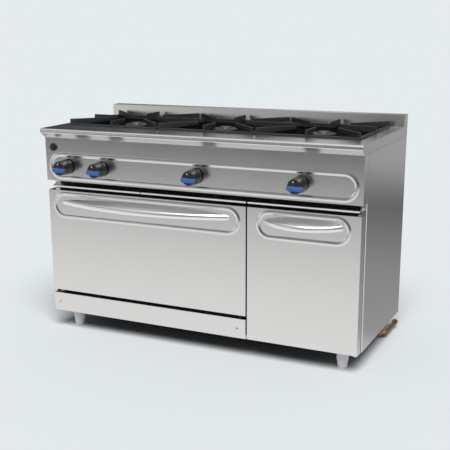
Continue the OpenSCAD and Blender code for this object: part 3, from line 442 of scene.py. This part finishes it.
@dataclass(frozen=True)
class KnobPhenolic(Coated):
    """Moulded phenolic knob, black, with the bar across its face moulded in blue."""

    light: str = "#282727"
    dark: str = "#1F1F1F"
    blue: str = "#2F5FA8"
    roughness: float = 0.3
    ripple_mm: float = 3.0
    edge_mm: float = 1.0
    bar_low_z: float = KNOB_Z - 15.2 * MM
    bar_top_z: float = KNOB_Z + 1.0 * MM
    bar_back_y: float = FACE_Y - 50.0 * MM

    def colour(
        self,
        tree: bpy.types.NodeTree,
        place: bpy.types.NodeSocket,
        pattern: bpy.types.NodeSocket,
        edge: bpy.types.NodeSocket,
    ) -> bpy.types.NodeSocket:
        """Adds the two colours; the base class says what the arguments are."""
        parts = add_node(tree, "ShaderNodeSeparateXYZ", {0: place})
        bar = 1.0
        for axis, limit, way in (
            ("Z", self.bar_top_z, "LESS_THAN"),
            ("Z", self.bar_low_z, "GREATER_THAN"),
            ("Y", self.bar_back_y, "LESS_THAN"),
        ):
            inside = add_node(
                tree, "ShaderNodeMath", {0: parts.outputs[axis], 1: limit}, operation=way
            )
            bar = add_node(
                tree, "ShaderNodeMath", {0: inside.outputs[0], 1: bar}, operation="MULTIPLY"
            ).outputs[0]
        black = super().colour(tree, place, pattern, edge)
        return add_node(
            tree, "ShaderNodeMix", {"Factor": bar, "A": black, "B": self.blue}, data_type="RGBA"
        ).outputs["Result"]


@dataclass(frozen=True)
class Fibrous(Finish):
    """Matted fibres, such as mineral wool or a woven heat seal."""

    light: str = "#C9B884"
    dark: str = "#A08C55"
    roughness: float = 0.93
    spread: float = 0.02
    relief_mm: float = 1.0
    relief_share: float = 0.8
    fibre_mm: float = 3.0

    def pattern(self, tree: bpy.types.NodeTree, place: bpy.types.NodeSocket) -> bpy.types.NodeSocket:
        """Adds the fibres, four times as long as wide; the base class says the arguments."""
        wide = 1 / (self.fibre_mm * MM)
        stretched = add_node(
            tree, "ShaderNodeMapping", {"Vector": place, "Scale": [wide / 4, wide, wide]}
        )
        return add_node(
            tree,
            "ShaderNodeTexNoise",
            {"Vector": stretched.outputs[0], "Scale": 1.0, "Detail": 6.0, "Distortion": 1.2},
        ).outputs[0]


STEEL_ACROSS = BrushedSteel("stainless_ground_across", grain=Grain.ALONG_X)
STEEL_UPRIGHT = BrushedSteel("stainless_ground_upright", grain=Grain.ALONG_Z)
STEEL_WORKTOP = BrushedSteel("stainless_ground_worktop", roughness=0.21, anisotropy=0.6)
STEEL_UPSTAND = BrushedSteel(
    "stainless_ground_upstand", roughness=0.22, anisotropy=0.5, lean=math.radians(6)
)
MILL_STEEL = PlainMetal("stainless_mill_finish", light="#B9B8B5", dark="#A9A8A5", roughness=0.36)
ZINC = PlainMetal("zinc_plated_steel", light="#C2C4C8", dark="#A2A5A9", mottle_mm=6.0)
# Painted shade: the oven hinges and their brackets are coloured near-black so that they read as the shade
# in the gap below the oven door.
HINGE_GAP_SHADE = PlainMetal(
    "hinge_steel_painted_shade", light="#3A3A3C", dark="#2A2A2B", roughness=0.45, mottle_mm=6.0
)
CHROME = PlainMetal("chromed_wire", light="#D8D9DB", dark="#C9CACC", roughness=0.14, spread=0.04)
HANDLE = PlainMetal(
    "handle_satin_bar", light="#F2F2F4", dark="#EAEAEC", roughness=0.3, spread=0.03, relief_mm=0.02
)
CAP_ENAMEL = Coated("burner_cap_dark_enamel", light="#39393A", dark="#29292A", roughness=0.3)
BURNER_METAL = PlainMetal(
    "burner_casting", light="#4E4E50", dark="#363638", roughness=0.5, relief_mm=0.3, mottle_mm=4.0
)
BRASS = PlainMetal("machined_brass", light="#C9A85E", dark="#AE8A45", roughness=0.25)
COPPER = PlainMetal("drawn_copper", light="#CF9468", dark="#A06A45", roughness=0.26, mottle_mm=20.0)
IRON = CastIron("cast_iron_matt_enamel")
BLACK_ENAMEL = Coated("black_vitreous_enamel", light="#1E1E21", dark="#141416", roughness=0.22)
# Painted shade: the mullion and cross rails are coloured near-black so that the gaps between the doors,
# and below the control panel, read as deep shadow.
FRAME_GAP_SHADE = Coated("frame_black_painted_shade", light="#1C1C1D", dark="#141415", roughness=0.6)
BLACK_PLASTIC = Coated("moulded_black_plastic", light="#2B2B2C", dark="#202021", roughness=0.42)
WHITE_NYLON = Coated("moulded_white_nylon", light="#EDECEF", dark="#E6E5E9", roughness=0.35)
CERAMIC = Coated("glazed_white_ceramic", light="#E9E4DA", dark="#DED8CC", roughness=0.2)
KNOB = KnobPhenolic("moulded_phenolic_knob")
WOOL = Fibrous("mineral_wool")
SEAL = Fibrous("woven_heat_seal", light="#4A4A4B", dark="#2C2C2D", fibre_mm=2.0)
WHITE_PAINT = Coated("white_paint_mark", light="#F4F4F2", dark="#ECECEA", roughness=0.4)
# Painted shade: the thin strip along the joint under the worktop's skirt is a darker grey that stands for
# the shadow in the seam.
JOINT_SHADE = Coated("sheet_joint_painted_shade", light="#6B6A68", dark="#5C5B59", roughness=0.6)

NODE_FINISHES: dict[Finish, tuple[str, ...]] = {
    STEEL_WORKTOP: ("worktop",),
    STEEL_UPSTAND: ("upstand",),
    STEEL_ACROSS: ("oven_door_skin", "cupboard_door_skin", "kick_panel", "louvre_blades"),
    STEEL_UPRIGHT: ("side_panel_left", "side_panel_right", "control_panel", "rear_panel"),
    MILL_STEEL: (
        "base_panel", "partition", "oven_flue", "oven_door_liner", "cupboard_door_liner",
    ),
    ZINC: (
        "panel_screws", "gas_manifold", "cupboard_hinge_brackets", "tap_spindle_oven",
        "tap_spindle_left", "tap_spindle_middle", "tap_spindle_right",
    ),
    # Coloured near-black as painted shade in the gap below the oven door
    HINGE_GAP_SHADE: ("oven_hinge_brackets", "oven_door_hinges"),
    CHROME: ("shelf_racks", "oven_shelf"),
    HANDLE: ("oven_door_handle", "cupboard_door_handle"),
    CAP_ENAMEL: ("burner_cap_left", "burner_cap_middle", "burner_cap_right"),
    BURNER_METAL: ("burner_bodies", "oven_burner"),
    BRASS: ("gas_taps", "inlet_union"),
    COPPER: ("gas_feed_pipes", "gas_inlet_pipe"),
    IRON: ("pan_support_left", "pan_support_middle", "pan_support_right", "oven_sole_plate"),
    BLACK_ENAMEL: ("spill_trays", "oven_liner"),
    # Coloured near-black as painted shade in the gaps
    FRAME_GAP_SHADE: ("mullion", "cross_rails"),
    BLACK_PLASTIC: ("igniter_body", "igniter_button", "door_catch"),
    WHITE_NYLON: (
        "foot_sleeves", "foot_front_left", "foot_front_right", "foot_rear_left", "foot_rear_right",
    ),
    KNOB: ("knob_oven", "knob_left", "knob_middle", "knob_right"),
    WOOL: ("oven_insulation", "oven_door_insulation"),
    SEAL: ("door_seal",),
}


# ---- Studio ----


@dataclass(frozen=True)
class Camera:
    """The photograph's camera, solved from the range's edges."""

    place: Point = (1.36937, -2.89234, 1.14521)
    yaw: float = -0.4641
    pitch: float = -0.2636
    roll: float = -0.0109
    focal_px: float = 890.81
    centre_px: tuple[float, float] = (202.98, 257.39)
    image_px: int = 450
    sensor_mm: float = 36.0

    def build(self) -> bpy.types.Object:
        """Makes the scene's camera."""
        cos_pitch = math.cos(self.pitch)
        ahead = Vector(
            (math.sin(self.yaw) * cos_pitch, math.cos(self.yaw) * cos_pitch, math.sin(self.pitch))
        )
        level_right = ahead.cross(Vector((0, 0, 1))).normalized()
        level_up = level_right.cross(ahead)
        right = math.cos(self.roll) * level_right + math.sin(self.roll) * level_up
        up = math.cos(self.roll) * level_up - math.sin(self.roll) * level_right
        turn = Matrix((right, up, -ahead)).transposed().to_4x4()
        data = bpy.data.cameras.new("camera")
        data.sensor_width = self.sensor_mm
        data.lens = self.focal_px / self.image_px * self.sensor_mm
        data.shift_x = (self.image_px / 2 - self.centre_px[0]) / self.image_px
        data.shift_y = (self.centre_px[1] - self.image_px / 2) / self.image_px
        camera = bpy.data.objects.new("camera", data)
        camera.matrix_world = Matrix.Translation(Vector(self.place)) @ turn
        bpy.context.scene.collection.objects.link(camera)
        bpy.context.scene.camera = camera
        return camera


@dataclass(frozen=True)
class Band:
    """A line of tones across a room, each at a distance in metres or at a share of a direction."""

    tones: Stops

    def colour(
        self, tree: bpy.types.NodeTree, value: bpy.types.NodeSocket
    ) -> bpy.types.NodeSocket:
        """Adds the nodes that turn a place along the line into its tone.

        Args:
            tree: The tree that they go into.
            value: The place along the line.

        Returns:
            The colour.
        """
        low, high = self.tones[0][0], self.tones[-1][0]
        share = add_node(
            tree, "ShaderNodeMapRange", {"Value": value, 1: low, 2: high, 3: 0.0, 4: 1.0}
        )
        stops = [((place - low) / (high - low), tone) for place, tone in self.tones]
        return add_node(
            tree, "ShaderNodeValToRGB", {0: share.outputs[0]}, stops=stops
        ).outputs[0]


@dataclass(frozen=True)
class Studio:
    """Pale floor, soft light from the front and above, and the room that bare metal mirrors."""

    pale: str = "#E6EBEE"
    sky_share: float = 0.2
    sun_tilt: Point = (math.radians(33), 0, math.radians(28))
    sun_angle: float = math.radians(38)
    floor_size: float = 60.0
    # The room's tones follow the reflections that the photographed steel shows. First the floor as
    # metal mirrors it, along Y: pale before the range, dark further off, grey beside and behind it
    floor_tones: Band = Band(
        (
            (-8.0, "#222222"), (-5.0, "#404040"), (-4.0, "#969696"), (-3.0, "#C8C8C8"),
            (-1.0, "#F8F8F8"), (-0.3, "#FFFFFF"), (0.2, "#A4A4A4"), (1.2, "#949494"),
            (2.5, "#66686A"), (4.0, "#AEAEAE"),
        )
    )
    # A low window before it, brighter to the left, as the X share: the upstand mirrors it
    window_tones: Band = Band(
        ((-0.55, "#FFFFFF"), (-0.45, "#CCCCCA"), (-0.35, "#CCCCCA"), (-0.25, "#686866"))
    )
    window_top: tuple[float, float] = (0.24, 0.34)
    # The room before the range by height, as the Z share of a direction
    front_tones: Band = Band(((0.5, "#686A6C"), (0.65, "#C0C0C0"), (0.8, "#FFFFFF")))
    # The room behind it from left to right, which the worktop mirrors, as the X share
    back_tones: Band = Band(
        (
            (-0.6, "#101010"), (-0.5, "#585858"), (-0.4, "#A0A09E"), (-0.3, "#C4C4C2"),
            (-0.25, "#747472"), (1.0, "#A8A8A8"),
        )
    )
    # How high that room reaches before it gives way to the pale ceiling
    back_top: tuple[float, float] = (0.5, 0.85)
    ceiling: str = "#ECEDEE"
    # Where the room before the range gives way to the one behind, as the Y share to either side
    turn_share: float = 0.2
    floor_drop: float = 0.2 * MM

    def light(self) -> None:
        """Sets one broad lamp, so that with the sky a level pale surface keeps its colour."""
        data = bpy.data.lights.new("softbox", "SUN")
        data.angle = self.sun_angle
        lamp = bpy.data.objects.new("softbox", data)
        lamp.rotation_euler = self.sun_tilt
        steepness = (lamp.rotation_euler.to_matrix() @ Vector((0, 0, 1))).z
        data.energy = (1 - self.sky_share) * math.pi / steepness
        bpy.context.scene.collection.objects.link(lamp)

    def mirrored(self, tree: bpy.types.NodeTree) -> tuple[bpy.types.Node, bpy.types.NodeSocket]:
        """Adds the nodes that tell what looks at the room.

        Args:
            tree: The world's tree, or the floor's.

        Returns:
            The Light Path node, and 1 for a ray that metal or glass sends on.
        """
        path = add_node(tree, "ShaderNodeLightPath")
        either = add_node(
            tree,
            "ShaderNodeMath",
            {0: path.outputs["Is Glossy Ray"], 1: path.outputs["Is Transmission Ray"]},
            operation="MAXIMUM",
        )
        return path, either.outputs[0]

    def sky(self) -> None:
        """Makes the world: plain for light, pale for the camera, a room for reflections."""
        world = bpy.data.worlds.new("studio")
        bpy.context.scene.world = world
        world.use_nodes = True
        tree = world.node_tree
        tree.nodes.clear()
        path, mirrored = self.mirrored(tree)
        way = add_node(tree, "ShaderNodeTexCoord").outputs["Generated"]
        parts = add_node(tree, "ShaderNodeSeparateXYZ", {0: way}).outputs
        climb = add_node(
            tree,
            "ShaderNodeMapRange",
            {"Value": parts["Z"], 1: self.back_top[0], 2: self.back_top[1], 3: 0.0, 4: 1.0},
        )
        back = add_node(
            tree,
            "ShaderNodeMix",
            {
                "Factor": climb.outputs[0],
                "A": self.back_tones.colour(tree, parts["X"]),
                "B": self.ceiling,
            },
            data_type="RGBA",
        )
        behind = add_node(
            tree,
            "ShaderNodeMapRange",
            {"Value": parts["Y"], 1: -self.turn_share, 2: self.turn_share, 3: 0.0, 4: 1.0},
        )
        above = add_node(
            tree,
            "ShaderNodeMapRange",
            {"Value": parts["Z"], 1: self.window_top[0], 2: self.window_top[1], 3: 0.0, 4: 1.0},
        )
        front = add_node(
            tree,
            "ShaderNodeMix",
            {
                "Factor": above.outputs[0],
                "A": self.window_tones.colour(tree, parts["X"]),
                "B": self.front_tones.colour(tree, parts["Z"]),
            },
            data_type="RGBA",
        )
        room = add_node(
            tree,
            "ShaderNodeMix",
            {
                "Factor": behind.outputs[0],
                "A": front.outputs["Result"],
                "B": back.outputs["Result"],
            },
            data_type="RGBA",
        )
        even = add_node(
            tree, "ShaderNodeBackground", {"Color": "#FFFFFF", "Strength": self.sky_share}
        )
        shown = add_node(tree, "ShaderNodeBackground", {"Color": room.outputs["Result"]})
        pale = add_node(tree, "ShaderNodeBackground", {"Color": self.pale})
        unseen = add_node(
            tree, "ShaderNodeMixShader", {0: mirrored, 1: even.outputs[0], 2: shown.outputs[0]}
        )
        seen = add_node(
            tree,
            "ShaderNodeMixShader",
            {0: path.outputs["Is Camera Ray"], 1: unseen.outputs[0], 2: pale.outputs[0]},
        )
        add_node(tree, "ShaderNodeOutputWorld", {0: seen.outputs[0]})

    def floor(self) -> None:
        """Makes the floor: pale and matt, and in reflections the tones of a long studio sweep."""
        half = self.floor_size / 2
        mesh = bpy.data.meshes.new("floor")
        corners = [(-half, -half, 0), (half, -half, 0), (half, half, 0), (-half, half, 0)]
        mesh.from_pydata(corners, [], [(0, 1, 2, 3)])
        floor = bpy.data.objects.new("floor", mesh)
        floor.location.z = -self.floor_drop
        bpy.context.scene.collection.objects.link(floor)
        material = bpy.data.materials.new("pale_floor")
        material.use_nodes = True
        tree = material.node_tree
        tree.nodes.clear()
        _, mirrored = self.mirrored(tree)
        matt = add_node(tree, "ShaderNodeBsdfDiffuse", {"Color": self.pale})
        place = add_node(tree, "ShaderNodeTexCoord").outputs["Object"]
        parts = add_node(tree, "ShaderNodeSeparateXYZ", {0: place}).outputs
        sweep = self.floor_tones.colour(tree, parts["Y"])
        glow = add_node(tree, "ShaderNodeEmission", {"Color": sweep})
        surface = add_node(
            tree, "ShaderNodeMixShader", {0: mirrored, 1: matt.outputs[0], 2: glow.outputs[0]}
        )
        add_node(tree, "ShaderNodeOutputMaterial", {"Surface": surface.outputs[0]})
        mesh.materials.append(material)

    def build(self) -> None:
        """Makes the lamp, the world and the floor."""
        bpy.context.scene.view_settings.view_transform = "Standard"
        # The floor stays as pale as it is painted: steel throws no patches of light on it
        bpy.context.scene.cycles.caustics_reflective = False
        self.light()
        self.sky()
        self.floor()


# ---- Pieces ----


def add_piece(
    name: str, draw: Callable[[bmesh.types.BMesh], None], finish: Finish, body: str
) -> bpy.types.Object:
    """Makes a piece of the range from mesh code.

    Args:
        name: The piece's name.
        draw: Fills the mesh, in the frame's own axes.
        finish: The piece's finish.
        body: The body that it moves with.

    Returns:
        The new object.
    """
    mesh = bpy.data.meshes.new(name)
    work = bmesh.new()
    draw(work)
    bmesh.ops.recalc_face_normals(work, faces=work.faces[:])
    work.to_mesh(mesh)
    work.free()
    mesh.materials.append(finish.material())
    piece = bpy.data.objects.new(name, mesh)
    bpy.context.scene.collection.objects.link(piece)
    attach(piece, body)
    LOG.info("piece %s rides on %s", name, body)
    return piece


def turned(
    work: bmesh.types.BMesh,
    profile: Sequence[tuple[float, float]],
    start: Point,
    axis: Point = (0, -1, 0),
    steps: int = 24,
) -> None:
    """Adds a turned form.

    Args:
        work: The mesh that it goes into.
        profile: Radius and distance from the start for each ring; a radius of 0 closes an end.
        start: The axis' first end.
        axis: The way that the axis runs.
        steps: How many sides a ring has.
    """
    along = Vector(axis).normalized()
    side = along.orthogonal().normalized()
    other = along.cross(side)
    rings = []
    for radius, ahead in profile:
        centre = Vector(start) + along * ahead
        if radius == 0:
            rings.append([work.verts.new(centre)])
            continue
        angles = [2 * math.pi * k / steps for k in range(steps)]
        rings.append(
            [
                work.verts.new(centre + radius * (math.cos(a) * side + math.sin(a) * other))
                for a in angles
            ]
        )
    for low, high in zip(rings, rings[1:]):
        for k in range(steps):
            after = (k + 1) % steps
            corners = (
                low[k % len(low)], low[after % len(low)], high[after % len(high)], high[k % len(high)],
            )
            work.faces.new(list(dict.fromkeys(corners)))


def swept(
    work: bmesh.types.BMesh, path: Sequence[Point], radius: float, steps: int = 10
) -> None:
    """Adds a round rod along a path, closed at both ends.

    Args:
        work: The mesh that it goes into.
        path: The rod's middle line.
        radius: The rod's radius.
        steps: How many sides it has.
    """
    points = [Vector(p) for p in path]
    rings = []
    side = (points[1] - points[0]).orthogonal().normalized()
    for index, point in enumerate(points):
        before, after = points[max(index - 1, 0)], points[min(index + 1, len(points) - 1)]
        along = (after - before).normalized()
        side = (side - side.dot(along) * along).normalized()
        other = along.cross(side)
        angles = [2 * math.pi * k / steps for k in range(steps)]
        rings.append(
            [
                work.verts.new(point + radius * (math.cos(a) * side + math.sin(a) * other))
                for a in angles
            ]
        )
    for low, high in zip(rings, rings[1:]):
        for k in range(steps):
            after = (k + 1) % steps
            work.faces.new((low[k], low[after], high[after], high[k]))
    for end in (rings[0], rings[-1]):
        work.faces.new(end)


def in_metres(outline: Outline) -> list[tuple[float, float]]:
    """Turns an outline in millimetres into metres."""
    return [(first * MM, second * MM) for first, second in outline]


def boxed(work: bmesh.types.BMesh, low: Point, high: Point) -> None:
    """Adds a strip with square ends between two corners."""
    corners = [
        work.verts.new([(low, high)[(k >> axis) & 1][axis] for axis in range(3)]) for k in range(8)
    ]
    for face in ((0, 1, 3, 2), (4, 5, 7, 6), (0, 1, 5, 4), (2, 3, 7, 6), (0, 2, 6, 4), (1, 3, 7, 5)):
        work.faces.new([corners[k] for k in face])


@dataclass(frozen=True)
class Knobs:
    """Painted dots on the four knobs, up and left of the middle of the face."""

    face_ahead: float = 56 * MM
    dot_left: float = 4 * MM
    dot_up: float = 15 * MM
    dot_radius: float = 2.1 * MM
    dot_height: float = 0.5 * MM
    dot_sunk: float = 0.2 * MM

    def build(self) -> None:
        """Makes a white dot for each knob."""
        r, h, sunk = self.dot_radius, self.dot_height, self.dot_sunk
        profile = ((0, -sunk), (r, -sunk), (r, 0.6 * h), (0.8 * r, h), (0, h))
        for place in KnobPlace:
            start = (
                place.value * MM - self.dot_left, FACE_Y - self.face_ahead, KNOB_Z + self.dot_up
            )
            add_piece(
                f"knob_dot_{place.name.lower()}",
                lambda work, start=start: turned(work, profile, start),
                WHITE_PAINT,
                place.body,
            )


@dataclass(frozen=True)
class Screws:
    """Pan-head screws with a cross recess, in place of the plain heads of the frame."""

    head_radius: float = 4.0 * MM
    front_height: float = 2.0 * MM
    rear_height: float = 0.8 * MM
    front_x: tuple[float, float] = (-570.7 * MM, 168.0 * MM)
    front_z: float = 103.0 * MM
    rear_x: float = 588.0 * MM
    rear_z: tuple[float, ...] = (128.0 * MM, 398.0 * MM, 688.0 * MM)
    # The head's outline, as shares of its radius and of its height
    dome: Outline = ((1.0, 0.0), (1.0, 0.35), (0.88, 0.8), (0.66, 1.0))
    # The cross: half its length and half its width as shares of the radius, its depth as a share
    # of the height, and the size of its floor against its mouth
    arm_share: float = 0.52
    slot_share: float = 0.13
    depth_share: float = 0.75
    floor_share: float = 0.8
    steps: int = 24

    def head(
        self, work: bmesh.types.BMesh, seat: Point, outward: float, height: float
    ) -> None:
        """Adds one head: a domed disc whose top has a cross sunk into it.

        Args:
            work: The mesh that it goes into.
            seat: The middle of the face that the head sits on.
            outward: -1 where the head faces the cook, 1 where it faces the back.
            height: How far the head stands out.
        """
        radius = self.head_radius
        half_arm, half_slot = self.arm_share * radius, self.slot_share * radius
        depth = self.depth_share * height
        quarter = [(half_arm, -half_slot), (half_arm, half_slot), (half_slot, half_slot)]
        cross = []
        for turn in range(4):
            c, s = round(math.cos(turn * math.pi / 2)), round(math.sin(turn * math.pi / 2))
            cross += [(c * x - s * z, s * x + c * z) for x, z in quarter]

        def ring(outline: Sequence[tuple[float, float]], out: float) -> list[bmesh.types.BMVert]:
            """Adds an outline at a distance from the seat."""
            return [
                work.verts.new((seat[0] + x, seat[1] + outward * out, seat[2] + z))
                for x, z in outline
            ]

        angles = [2 * math.pi * (k - 1.5) / self.steps for k in range(self.steps)]
        rings = [
            ring([(wide * radius * math.cos(a), wide * radius * math.sin(a)) for a in angles], up * height)
            for wide, up in self.dome
        ]
        for low, high in zip(rings, rings[1:]):
            for k in range(self.steps):
                after = (k + 1) % self.steps
                work.faces.new((low[k], low[after], high[after], high[k]))
        work.faces.new(rings[0])
        narrow = [(self.floor_share * x, self.floor_share * z) for x, z in cross]
        rim, foot = ring(cross, height), ring(narrow, height - depth)
        edges = []
        for outline in (rings[-1], rim):
            for k, vert in enumerate(outline):
                after = outline[(k + 1) % len(outline)]
                edges.append(work.edges.get((vert, after)) or work.edges.new((vert, after)))
        bmesh.ops.triangle_fill(work, use_beauty=True, edges=edges)
        inside = [f for f in work.faces if all(v in rim for v in f.verts)]
        bmesh.ops.delete(work, geom=inside, context="FACES_ONLY")
        for k, vert in enumerate(rim):
            after = (k + 1) % len(rim)
            work.faces.new((vert, rim[after], foot[after], foot[k]))
        work.faces.new(foot)

    def draw(self, work: bmesh.types.BMesh) -> None:
        """Adds all the heads to one mesh."""
        for x in self.front_x:
            self.head(work, (x, FACE_Y, self.front_z), -1, self.front_height)
        for x in (-self.rear_x, self.rear_x):
            for z in self.rear_z:
                self.head(work, (x, BACK_Y, z), 1, self.rear_height)

    def build(self) -> None:
        """Makes the screws and puts them in place of the frame's."""
        piece = add_piece("screw_heads", self.draw, ZINC, "range_body")
        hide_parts("panel_screws")


@dataclass(frozen=True)
class InletThread:
    """Gas thread cut on the end of the inlet union, at its real pitch of 19 turns to the inch."""

    axis_x: float = 588 * MM
    axis_z: float = 24 * MM
    start_y: float = 284.5 * MM
    end_y: float = 295.5 * MM
    # The frame's stub is 8.3 mm in radius, and the ridge stands proud of it so that it shows
    root_radius: float = 8.25 * MM
    crest_radius: float = 8.6 * MM
    pitch: float = 25.4 / 19 * MM
    # How far the ridge's foot lies under its root, and half the foot's and the crest's width in pitches
    sunk: float = 0.3 * MM
    half_foot: float = 0.40
    half_crest: float = 0.06
    steps: int = 28

    def draw(self, work: bmesh.types.BMesh) -> None:
        """Adds one ridge that winds along the stub and fades out at both ends."""
        count = round((self.end_y - self.start_y) / self.pitch * self.steps)
        ridge = []
        for k in range(count + 1):
            angle = 2 * math.pi * k / self.steps
            y = self.start_y + self.pitch * k / self.steps
            fade = min(1.0, k / self.steps * 2, (count - k) / self.steps * 2)
            crest = self.root_radius + fade * (self.crest_radius - self.root_radius)
            ridge.append(
                [
                    work.verts.new(
                        (
                            self.axis_x + radius * math.cos(angle),
                            y + ahead * self.pitch,
                            self.axis_z + radius * math.sin(angle),
                        )
                    )
                    for radius, ahead in (
                        (self.root_radius - self.sunk, -self.half_foot), (crest, -self.half_crest),
                        (crest, self.half_crest), (self.root_radius - self.sunk, self.half_foot),
                    )
                ]
            )
        for low, high in zip(ridge, ridge[1:]):
            for k in range(4):
                after = (k + 1) % 4
                work.faces.new((low[k], low[after], high[after], high[k]))
        work.faces.new(ridge[0])
        work.faces.new(ridge[-1])

    def build(self) -> None:
        """Makes the thread."""
        add_piece("inlet_thread", self.draw, BRASS, "range_body")


@dataclass(frozen=True)
class FlameGuard:
    """Spark electrode and thermocouple beside each burner, standing in its tray."""

    ring_radius: float = 53 * MM
    tray_z: float = 730.4 * MM
    spark_angle: float = math.radians(248)
    probe_angle: float = math.radians(292)
    wire_radius: float = 0.7 * MM
    # Outlines of the porcelain and the probe: radius and height above the tray, in millimetres
    porcelain: Outline = (
        (0, 0), (4.4, 0), (4.4, 3), (3.4, 4), (3.4, 14), (2.4, 17), (1.4, 18), (0, 18),
    )
    probe: Outline = (
        (0, 0), (3.6, 0), (3.6, 5), (2.2, 5.6), (2.2, 19), (1.6, 21), (0.8, 21.8), (0, 22),
    )
    # The wire's run: how far in towards the burner and how high above the tray, in millimetres
    wire: Outline = ((0, 16), (0, 20), (0.6, 21.4), (1.8, 22.2), (3.4, 22.4), (5.5, 22.0))

    def spot(self, place: BurnerPlace, angle: float, radius: float, z: float) -> Vector:
        """Gives a point beside a burner by its angle, radius and height."""
        x, y = place.centre
        return Vector((x + radius * math.cos(angle), y + radius * math.sin(angle), z))

    def build(self) -> None:
        """Makes the porcelain, the spark wire and the probe for each burner."""
        glaze, probe = in_metres(self.porcelain), in_metres(self.probe)
        for place in BurnerPlace:
            name = place.name.lower()
            foot = self.spot(place, self.spark_angle, self.ring_radius, self.tray_z)
            add_piece(
                f"spark_porcelain_{name}",
                lambda work, foot=foot: turned(work, glaze, foot, axis=(0, 0, 1), steps=20),
                CERAMIC,
                "range_body",
            )
            wire = [
                self.spot(place, self.spark_angle, self.ring_radius - inward, self.tray_z + height)
                for inward, height in in_metres(self.wire)
            ]
            add_piece(
                f"spark_wire_{name}",
                lambda work, wire=wire: swept(work, wire, self.wire_radius),
                ZINC,
                "range_body",
            )
            foot = self.spot(place, self.probe_angle, self.ring_radius, self.tray_z)
            add_piece(
                f"flame_probe_{name}",
                lambda work, foot=foot: turned(work, probe, foot, axis=(0, 0, 1), steps=20),
                COPPER,
                "range_body",
            )


@dataclass(frozen=True)
class JointShadeLine:
    """A dark hairline of painted shade where the worktop's skirt meets the sides and the back."""

    half_height: float = 0.35 * MM
    proud: float = 0.03 * MM
    sunk: float = 0.3 * MM
    front_inset: float = 4 * MM
    end_inset: float = 1 * MM

    def draw(self, work: bmesh.types.BMesh) -> None:
        """Adds the three runs of the line."""
        low, high = PANEL_TOP_Z - self.half_height, PANEL_TOP_Z + self.half_height
        for side in (-1, 1):
            inner, outer = side * (HALF_WIDTH - self.sunk), side * (HALF_WIDTH + self.proud)
            boxed(
                work,
                (min(inner, outer), FACE_Y + self.front_inset, low),
                (max(inner, outer), BACK_Y - self.end_inset, high),
            )
        boxed(
            work,
            (self.end_inset - HALF_WIDTH, BACK_Y - self.sunk, low),
            (HALF_WIDTH - self.end_inset, BACK_Y + self.proud, high),
        )

    def build(self) -> None:
        """Makes the line."""
        add_piece("worktop_joint_shade", self.draw, JOINT_SHADE, "range_body")


def dress_nodes(frame: dict[str, Any]) -> None:
    """Gives each node listed in NODE_FINISHES its finish, and logs the nodes left bare.
    """
    bare = set(frame["nodes"])
    for finish, nodes in NODE_FINISHES.items():
        for node in nodes:
            obj = frame["nodes"][node]
            for index in range(len(obj.data.materials)):
                obj.data.materials[index] = finish.material()
            bare.discard(node)
    LOG.info("nodes without a finish: %s", sorted(bare) or "none")


def main() -> None:
    """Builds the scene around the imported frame."""
    logging.basicConfig(level=logging.INFO, format="%(message)s")
    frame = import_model()
    Camera().build()
    Studio().build()
    dress_nodes(frame)
    for assembly in (Knobs(), Screws(), InletThread(), FlameGuard(), JointShadeLine()):
        assembly.build()
        LOG.info("%s built", type(assembly).__name__)
    bpy.context.view_layer.update()


if __name__ == "__main__":
    main()
